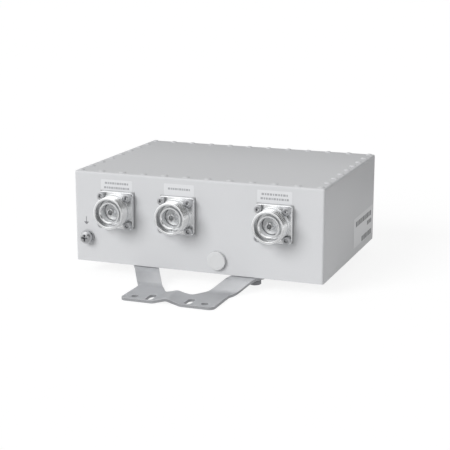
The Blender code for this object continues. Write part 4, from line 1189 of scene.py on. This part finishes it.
def print_line(place, across, up, width, height, blocks, settings):
    """A row of small blocks of uneven width, which stands for a line of print.

    The blocks' widths follow a cosine wave, with gaps of less than half a block. The row's
    place and size are in mm.
    """
    weight = 1 + 0.35 * np.cos(2.4 * np.arange(blocks))
    gap = 0.42
    pitch = width / (weight.sum() + gap * (blocks - 1))
    half = pitch * weight / 2
    start = across - width / 2 + pitch * np.append(0, np.cumsum(weight + gap)[:-1])
    out = 2 * skin_gap + settings.film_thickness
    return [film_sheet(place, middle * mm, box_base + up * mm, half_width * mm, height / 2 * mm,
                       out, settings.ink_thickness, settings.block_corner)
            for middle, half_width in zip(start + half, half)]


def label_print_mesh(name, face, settings):
    """All the print on the labels of one face."""
    blocks = []
    for own_face, *_, rows in labels:
        if own_face == face:
            for row in rows:
                blocks += print_line(place_on[face], *row, settings)
    return mesh_of(name, blocks)


def earth_sign_mesh(settings):
    """Generic earth sign: a stem over three bars, each shorter than the one above it."""
    strokes = [film_sheet(on_front, earth_sign_across * mm, box_base + up * mm, half_across * mm,
                          half_up * mm, skin_gap, settings.ink_thickness, settings.stroke_corner)
               for up, half_across, half_up in earth_sign_strokes]
    return mesh_of("earth_sign", strokes)


# Stage

def seen_rays(tree):
    """One for camera, glossy and transmission rays, nought for the rest."""
    path = add_node(tree, "ShaderNodeLightPath")
    seen = path.outputs["Is Camera Ray"]
    for ray in ("Is Glossy Ray", "Is Transmission Ray"):
        larger = add_node(tree, "ShaderNodeMath", operation="MAXIMUM")
        tree.links.new(seen, larger.inputs[0])
        tree.links.new(path.outputs[ray], larger.inputs[1])
        seen = larger.outputs["Value"]
    return seen


def add_world(scene, settings):
    """Even white light that shows as plain white."""
    world = bpy.data.worlds.new("studio")
    world.use_nodes = True
    scene.world = world
    tree = world.node_tree
    background = tree.nodes["Background"]
    background.inputs["Color"].default_value = (1, 1, 1, 1)
    strength = add_node(tree, "ShaderNodeMapRange", {"To Min": settings.world_strength, "To Max": 1},
                        {"Value": seen_rays(tree)})
    tree.links.new(strength.outputs["Result"], background.inputs["Strength"])


def add_rectangle(scene, name, half_x, half_y):
    """A flat rectangle that faces up and belongs to the stage."""
    mesh = bpy.data.meshes.new(name)
    mesh.from_pydata([(-half_x, -half_y, 0), (half_x, -half_y, 0), (half_x, half_y, 0),
                      (-half_x, half_y, 0)], [], [(0, 1, 2, 3)])
    holder = bpy.data.objects.new(name, mesh)
    scene.collection.objects.link(holder)
    return holder


def add_floor(scene, settings):
    """White floor that shows white where it is lit and keeps the soft shadow of the object."""
    half = 40.0               # metres, so that its edge is never seen
    floor = add_rectangle(scene, "floor", half, half)
    made = bpy.data.materials.new("white_floor")
    made.use_nodes = True
    tree = made.node_tree
    tree.nodes.clear()
    plain = add_node(tree, "ShaderNodeBsdfDiffuse", {"Color": (*settings.floor, 1)})
    white = add_node(tree, "ShaderNodeEmission", {"Color": (1, 1, 1, 1),
                                                  "Strength": settings.floor_glow})
    share_seen = add_node(tree, "ShaderNodeMath", {1: settings.glow_share}, operation="MULTIPLY")
    tree.links.new(seen_rays(tree), share_seen.inputs[0])
    mix = add_node(tree, "ShaderNodeMixShader", {}, {"Fac": share_seen.outputs["Value"]})
    tree.links.new(plain.outputs["BSDF"], mix.inputs[1])
    tree.links.new(white.outputs["Emission"], mix.inputs[2])
    add_node(tree, "ShaderNodeOutputMaterial", {}, {"Surface": mix.outputs["Shader"]})
    floor.data.materials.append(made)


def add_key_light(scene, settings):
    """Broad sun from the upper left, in front of the box; a card stands for it in gloss."""
    lamp = bpy.data.lights.new("key", "SUN")
    lamp.energy = settings.key_strength
    lamp.angle = settings.key_angle
    holder = bpy.data.objects.new("key", lamp)
    scene.collection.objects.link(holder)
    holder.rotation_euler = Vector(settings.key_from).to_track_quat("Z", "Y").to_euler()
    holder.visible_glossy = False


def add_card(scene, name, middle, facing, size, tone):
    """Card of an even tone that stands round the object and shows only in its gloss."""
    card = add_rectangle(scene, name, size[0] / 2, size[1] / 2)
    card.location = middle
    card.rotation_euler = Vector(facing).to_track_quat("Z", "Y").to_euler()
    for ray in ("camera", "diffuse", "transmission", "volume_scatter", "shadow"):
        setattr(card, f"visible_{ray}", False)
    made = bpy.data.materials.new(name)
    made.use_nodes = True
    tree = made.node_tree
    tree.nodes.clear()
    plain = add_node(tree, "ShaderNodeEmission", {"Color": (tone, tone, tone, 1)})
    add_node(tree, "ShaderNodeOutputMaterial", {}, {"Surface": plain.outputs["Emission"]})
    card.data.materials.append(made)


def add_camera(scene, settings):
    """Camera at the photograph's place and angle."""
    camera = bpy.data.cameras.new("camera")
    camera.lens = settings.camera_lens
    camera.sensor_width = 36
    holder = bpy.data.objects.new("camera", camera)
    scene.collection.objects.link(holder)
    holder.location = settings.camera_place
    holder.rotation_euler = (settings.camera_tilt, 0, settings.camera_turn)
    scene.camera = holder


# Operators

class DressHousing(bpy.types.Operator):
    """Powder-coated housing with smooth corners"""

    bl_idname = "duplexer.housing"
    bl_label = "Housing"

    def execute(self, context):
        finish = powder_coat(context.scene.duplexer_finish)
        add_piece("housing_shell", housing_mesh(), finish, "paint", "housing")
        return {"FINISHED"}


class DressLid(bpy.types.Operator):
    """Lid plate with its painted screw heads"""

    bl_idname = "duplexer.lid"
    bl_label = "Lid"

    def execute(self, context):
        lid = context.scene.duplexer_lid
        finish = powder_coat(context.scene.duplexer_finish)
        add_piece("lid_plate", lid_mesh(lid), finish, "paint", "lid")
        add_piece("lid_screw_heads", lid_heads_mesh(lid), finish, "paint")
        return {"FINISHED"}


class DressFilter(bpy.types.Operator):
    """Finishes of the pieces inside the box"""

    bl_idname = "duplexer.filter"
    bl_label = "Filter"

    def execute(self, context):
        settings = context.scene.duplexer_finish
        silver = silver_plating(settings)
        steel = fastener_steel(settings)
        for node in ("tuning_plate", "low_pass_line", "antenna_wire", "common_wire",
                     "high_band_wire"):
            dress_node(node, silver)
        for number in range(1, 5):
            dress_node(f"resonator_{number}", silver)
            dress_node(f"tuning_screw_{number}", steel)
            dress_node(f"tuning_nut_{number}", steel)
        posts = fluoropolymer(settings)
        for node in ("line_post_front", "line_post_back"):
            dress_node(node, posts)
        rubber = seal_rubber(settings)
        for node in ("lid_seal", *(f"{name}_gasket" for name in sockets)):
            dress_node(node, rubber)
        return {"FINISHED"}


class DressSockets(bpy.types.Operator):
    """Three threaded sockets on square flanges"""

    bl_idname = "duplexer.sockets"
    bl_label = "Sockets"

    def execute(self, context):
        settings = context.scene.duplexer_finish
        socket = context.scene.duplexer_socket
        for name in sockets:
            place = middle_of(f"{name}_socket")
            mesh = socket_mesh(f"{name}_socket_body", socket, place.x, place.z)
            finish = white_bronze(settings, name, place.x, place.z)
            add_piece(f"{name}_socket_body", mesh, finish, "plating", f"{name}_socket")
        return {"FINISHED"}


class DressCores(bpy.types.Operator):
    """Insulators and centre contacts in the sockets"""

    bl_idname = "duplexer.cores"
    bl_label = "Insulators and contacts"

    def execute(self, context):
        settings = context.scene.duplexer_finish
        core = context.scene.duplexer_core
        for name in sockets:
            place = middle_of(f"{name}_socket")
            mesh = insulator_mesh(f"{name}_insulator_ring", core, place.x, place.z)
            add_piece(f"{name}_insulator_ring", mesh, fluoropolymer(settings), "ptfe",
                      f"{name}_insulator")
            mesh = contact_mesh(f"{name}_contact_fingers", core, place.x, place.z)
            add_piece(f"{name}_contact_fingers", mesh, silver_plating(settings), "silver",
                      f"{name}_contact")
        return {"FINISHED"}


class DressFlangeScrews(bpy.types.Operator):
    """Four socket-head screws in each flange"""

    bl_idname = "duplexer.flange_screws"
    bl_label = "Flange screws"

    def execute(self, context):
        finish = fastener_steel(context.scene.duplexer_finish)
        for name in sockets:
            for number in range(1, 5):
                node = f"{name}_screw_{number}"
                place = middle_of(node)
                mesh = flange_screw_mesh(f"{node}_cap", context.scene.duplexer_screw,
                                         place.x, place.z)
                add_piece(f"{node}_cap", mesh, finish, "steel", node)
        return {"FINISHED"}


class DressEarthTerminal(bpy.types.Operator):
    """Earth screw with its split washer and flat washer"""

    bl_idname = "duplexer.earth_terminal"
    bl_label = "Earth terminal"

    def execute(self, context):
        earth = context.scene.duplexer_earth
        finish = fastener_steel(context.scene.duplexer_finish)
        place = middle_of("earth_screw")
        mesh = pan_head_mesh("earth_pan_head", earth, place.x, place.z)
        add_piece("earth_pan_head", mesh, finish, "steel", "earth_screw")
        spring = on_front(spring_washer_grid(earth), place.x, place.z)
        mesh = mesh_of("earth_split_ring", [sheet_of(spring)])
        add_piece("earth_split_ring", mesh, finish, "steel", "earth_spring_washer")
        profile = ring_profile(earth.washer_bore, earth.washer_radius, earth.washer_back,
                               earth.washer_front, 0.2 * mm)
        flat = on_front(revolved(profile, 64), place.x, place.z)
        mesh = mesh_of("earth_flat_ring", [sheet_of(flat, along=True)])
        add_piece("earth_flat_ring", mesh, finish, "steel", "earth_washer")
        return {"FINISHED"}


class DressVent(bpy.types.Operator):
    """Moulded vent plug"""

    bl_idname = "duplexer.vent"
    bl_label = "Vent plug"

    def execute(self, context):
        place = middle_of("vent_plug")
        mesh = vent_mesh("vent_cap", context.scene.duplexer_vent, place.x, place.z)
        add_piece("vent_cap", mesh, moulded_cap(context.scene.duplexer_finish), "cap",
                  "vent_plug")
        return {"FINISHED"}


class DressLabels(bpy.types.Operator):
    """White labels with plain blocks of print, and the earth sign"""

    bl_idname = "duplexer.labels"
    bl_label = "Labels"

    def execute(self, context):
        sizes = context.scene.duplexer_label
        settings = context.scene.duplexer_finish
        grey = label_ink("screen_printed_ink_grey", tuple(settings.ink))
        dark = label_ink("screen_printed_ink_dark", tuple(settings.dark_ink))
        for name, face, ink in (("label_print", "front", grey),
                                ("side_label_print", "right", dark)):
            add_piece(name, label_print_mesh(name, face, sizes), ink, "seal")
        add_piece("label_films", label_films_mesh(sizes), label_film(settings), "cap")
        add_piece("earth_sign", earth_sign_mesh(sizes), dark, "seal")
        return {"FINISHED"}


class DressBrackets(bpy.types.Operator):
    """Two folded brackets of brushed sheet"""

    bl_idname = "duplexer.brackets"
    bl_label = "Brackets"

    def execute(self, context):
        settings = context.scene.duplexer_finish
        faces, edges = brushed_sheet(settings), sheared_edge_and_shade(settings)
        for name, side in (("front", -1), ("back", 1)):
            mesh = bracket_mesh(context.scene.duplexer_bracket, f"{name}_folded_sheet", side,
                                faces, edges)
            add_piece(f"{name}_folded_sheet", mesh, None, "bracket_steel", f"{name}_bracket")
        return {"FINISHED"}


class DressBolts(bpy.types.Operator):
    """Hexagon bolts and washers that hold the brackets to the box"""

    bl_idname = "duplexer.bolts"
    bl_label = "Bracket bolts"

    def execute(self, context):
        bolt = context.scene.duplexer_bolt
        finish = bolt_finish_and_shade(context.scene.duplexer_finish)
        for place in ("front_left", "front_right", "back_left", "back_right"):
            node = f"{place}_bolt"
            low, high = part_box(node)
            x, y = (low.x + high.x) / 2, (low.y + high.y) / 2
            mesh = hex_bolt_mesh(f"{node}_hexagon", bolt, x, y, low.z, high.z)
            add_piece(f"{node}_hexagon", mesh, finish, "steel", node)
            node = f"{place}_washer"
            low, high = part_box(node)
            mesh = bolt_washer_mesh(f"{node}_ring", bolt, x, y, low.z, high.z)
            add_piece(f"{node}_ring", mesh, finish, "steel", node)
        return {"FINISHED"}


class BuildStage(bpy.types.Operator):
    """White floor, soft light from the upper left and the camera"""

    bl_idname = "duplexer.stage"
    bl_label = "Stage"

    def execute(self, context):
        settings = context.scene.duplexer_stage
        scene = context.scene
        scene.view_settings.view_transform = "Standard"
        add_world(scene, settings)
        add_floor(scene, settings)
        add_key_light(scene, settings)
        for card in cards:
            add_card(scene, *card)
        add_camera(scene, settings)
        return {"FINISHED"}


# Panel and registration

class DuplexerPanel(bpy.types.Panel):
    """Lists the pieces of the duplexer in the 3D view's sidebar"""

    bl_idname = "VIEW3D_PT_duplexer"
    bl_label = "Radio duplexer"
    bl_space_type = "VIEW_3D"
    bl_region_type = "UI"
    bl_category = "Duplexer"

    def draw(self, context):
        for operator in operators:
            self.layout.operator(operator.bl_idname)


operators = (DressHousing, DressLid, DressFilter, DressSockets, DressCores, DressFlangeScrews,
             DressEarthTerminal, DressVent, DressLabels, DressBrackets, DressBolts, BuildStage)
settings_groups = {
    "duplexer_finish": FinishSettings,
    "duplexer_lid": LidSettings,
    "duplexer_socket": SocketSettings,
    "duplexer_core": CoreSettings,
    "duplexer_screw": ScrewSettings,
    "duplexer_earth": EarthSettings,
    "duplexer_vent": VentSettings,
    "duplexer_label": LabelSettings,
    "duplexer_bracket": BracketSettings,
    "duplexer_bolt": BoltSettings,
    "duplexer_stage": StageSettings,
}


def register():
    """Add the settings, the operators and the panel to Blender."""
    for name, group in settings_groups.items():
        bpy.utils.register_class(group)
        setattr(bpy.types.Scene, name, PointerProperty(type=group))
    for item in (*operators, DuplexerPanel):
        bpy.utils.register_class(item)


def unregister():
    """Take them out again."""
    for item in reversed((*operators, DuplexerPanel)):
        bpy.utils.unregister_class(item)
    for name, group in settings_groups.items():
        delattr(bpy.types.Scene, name)
        bpy.utils.unregister_class(group)


def main():
    """Dress every piece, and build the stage."""
    register()
    for operator in operators:
        family, name = operator.bl_idname.split(".")
        getattr(getattr(bpy.ops, family), name)()


if __name__ == "__main__":
    main()
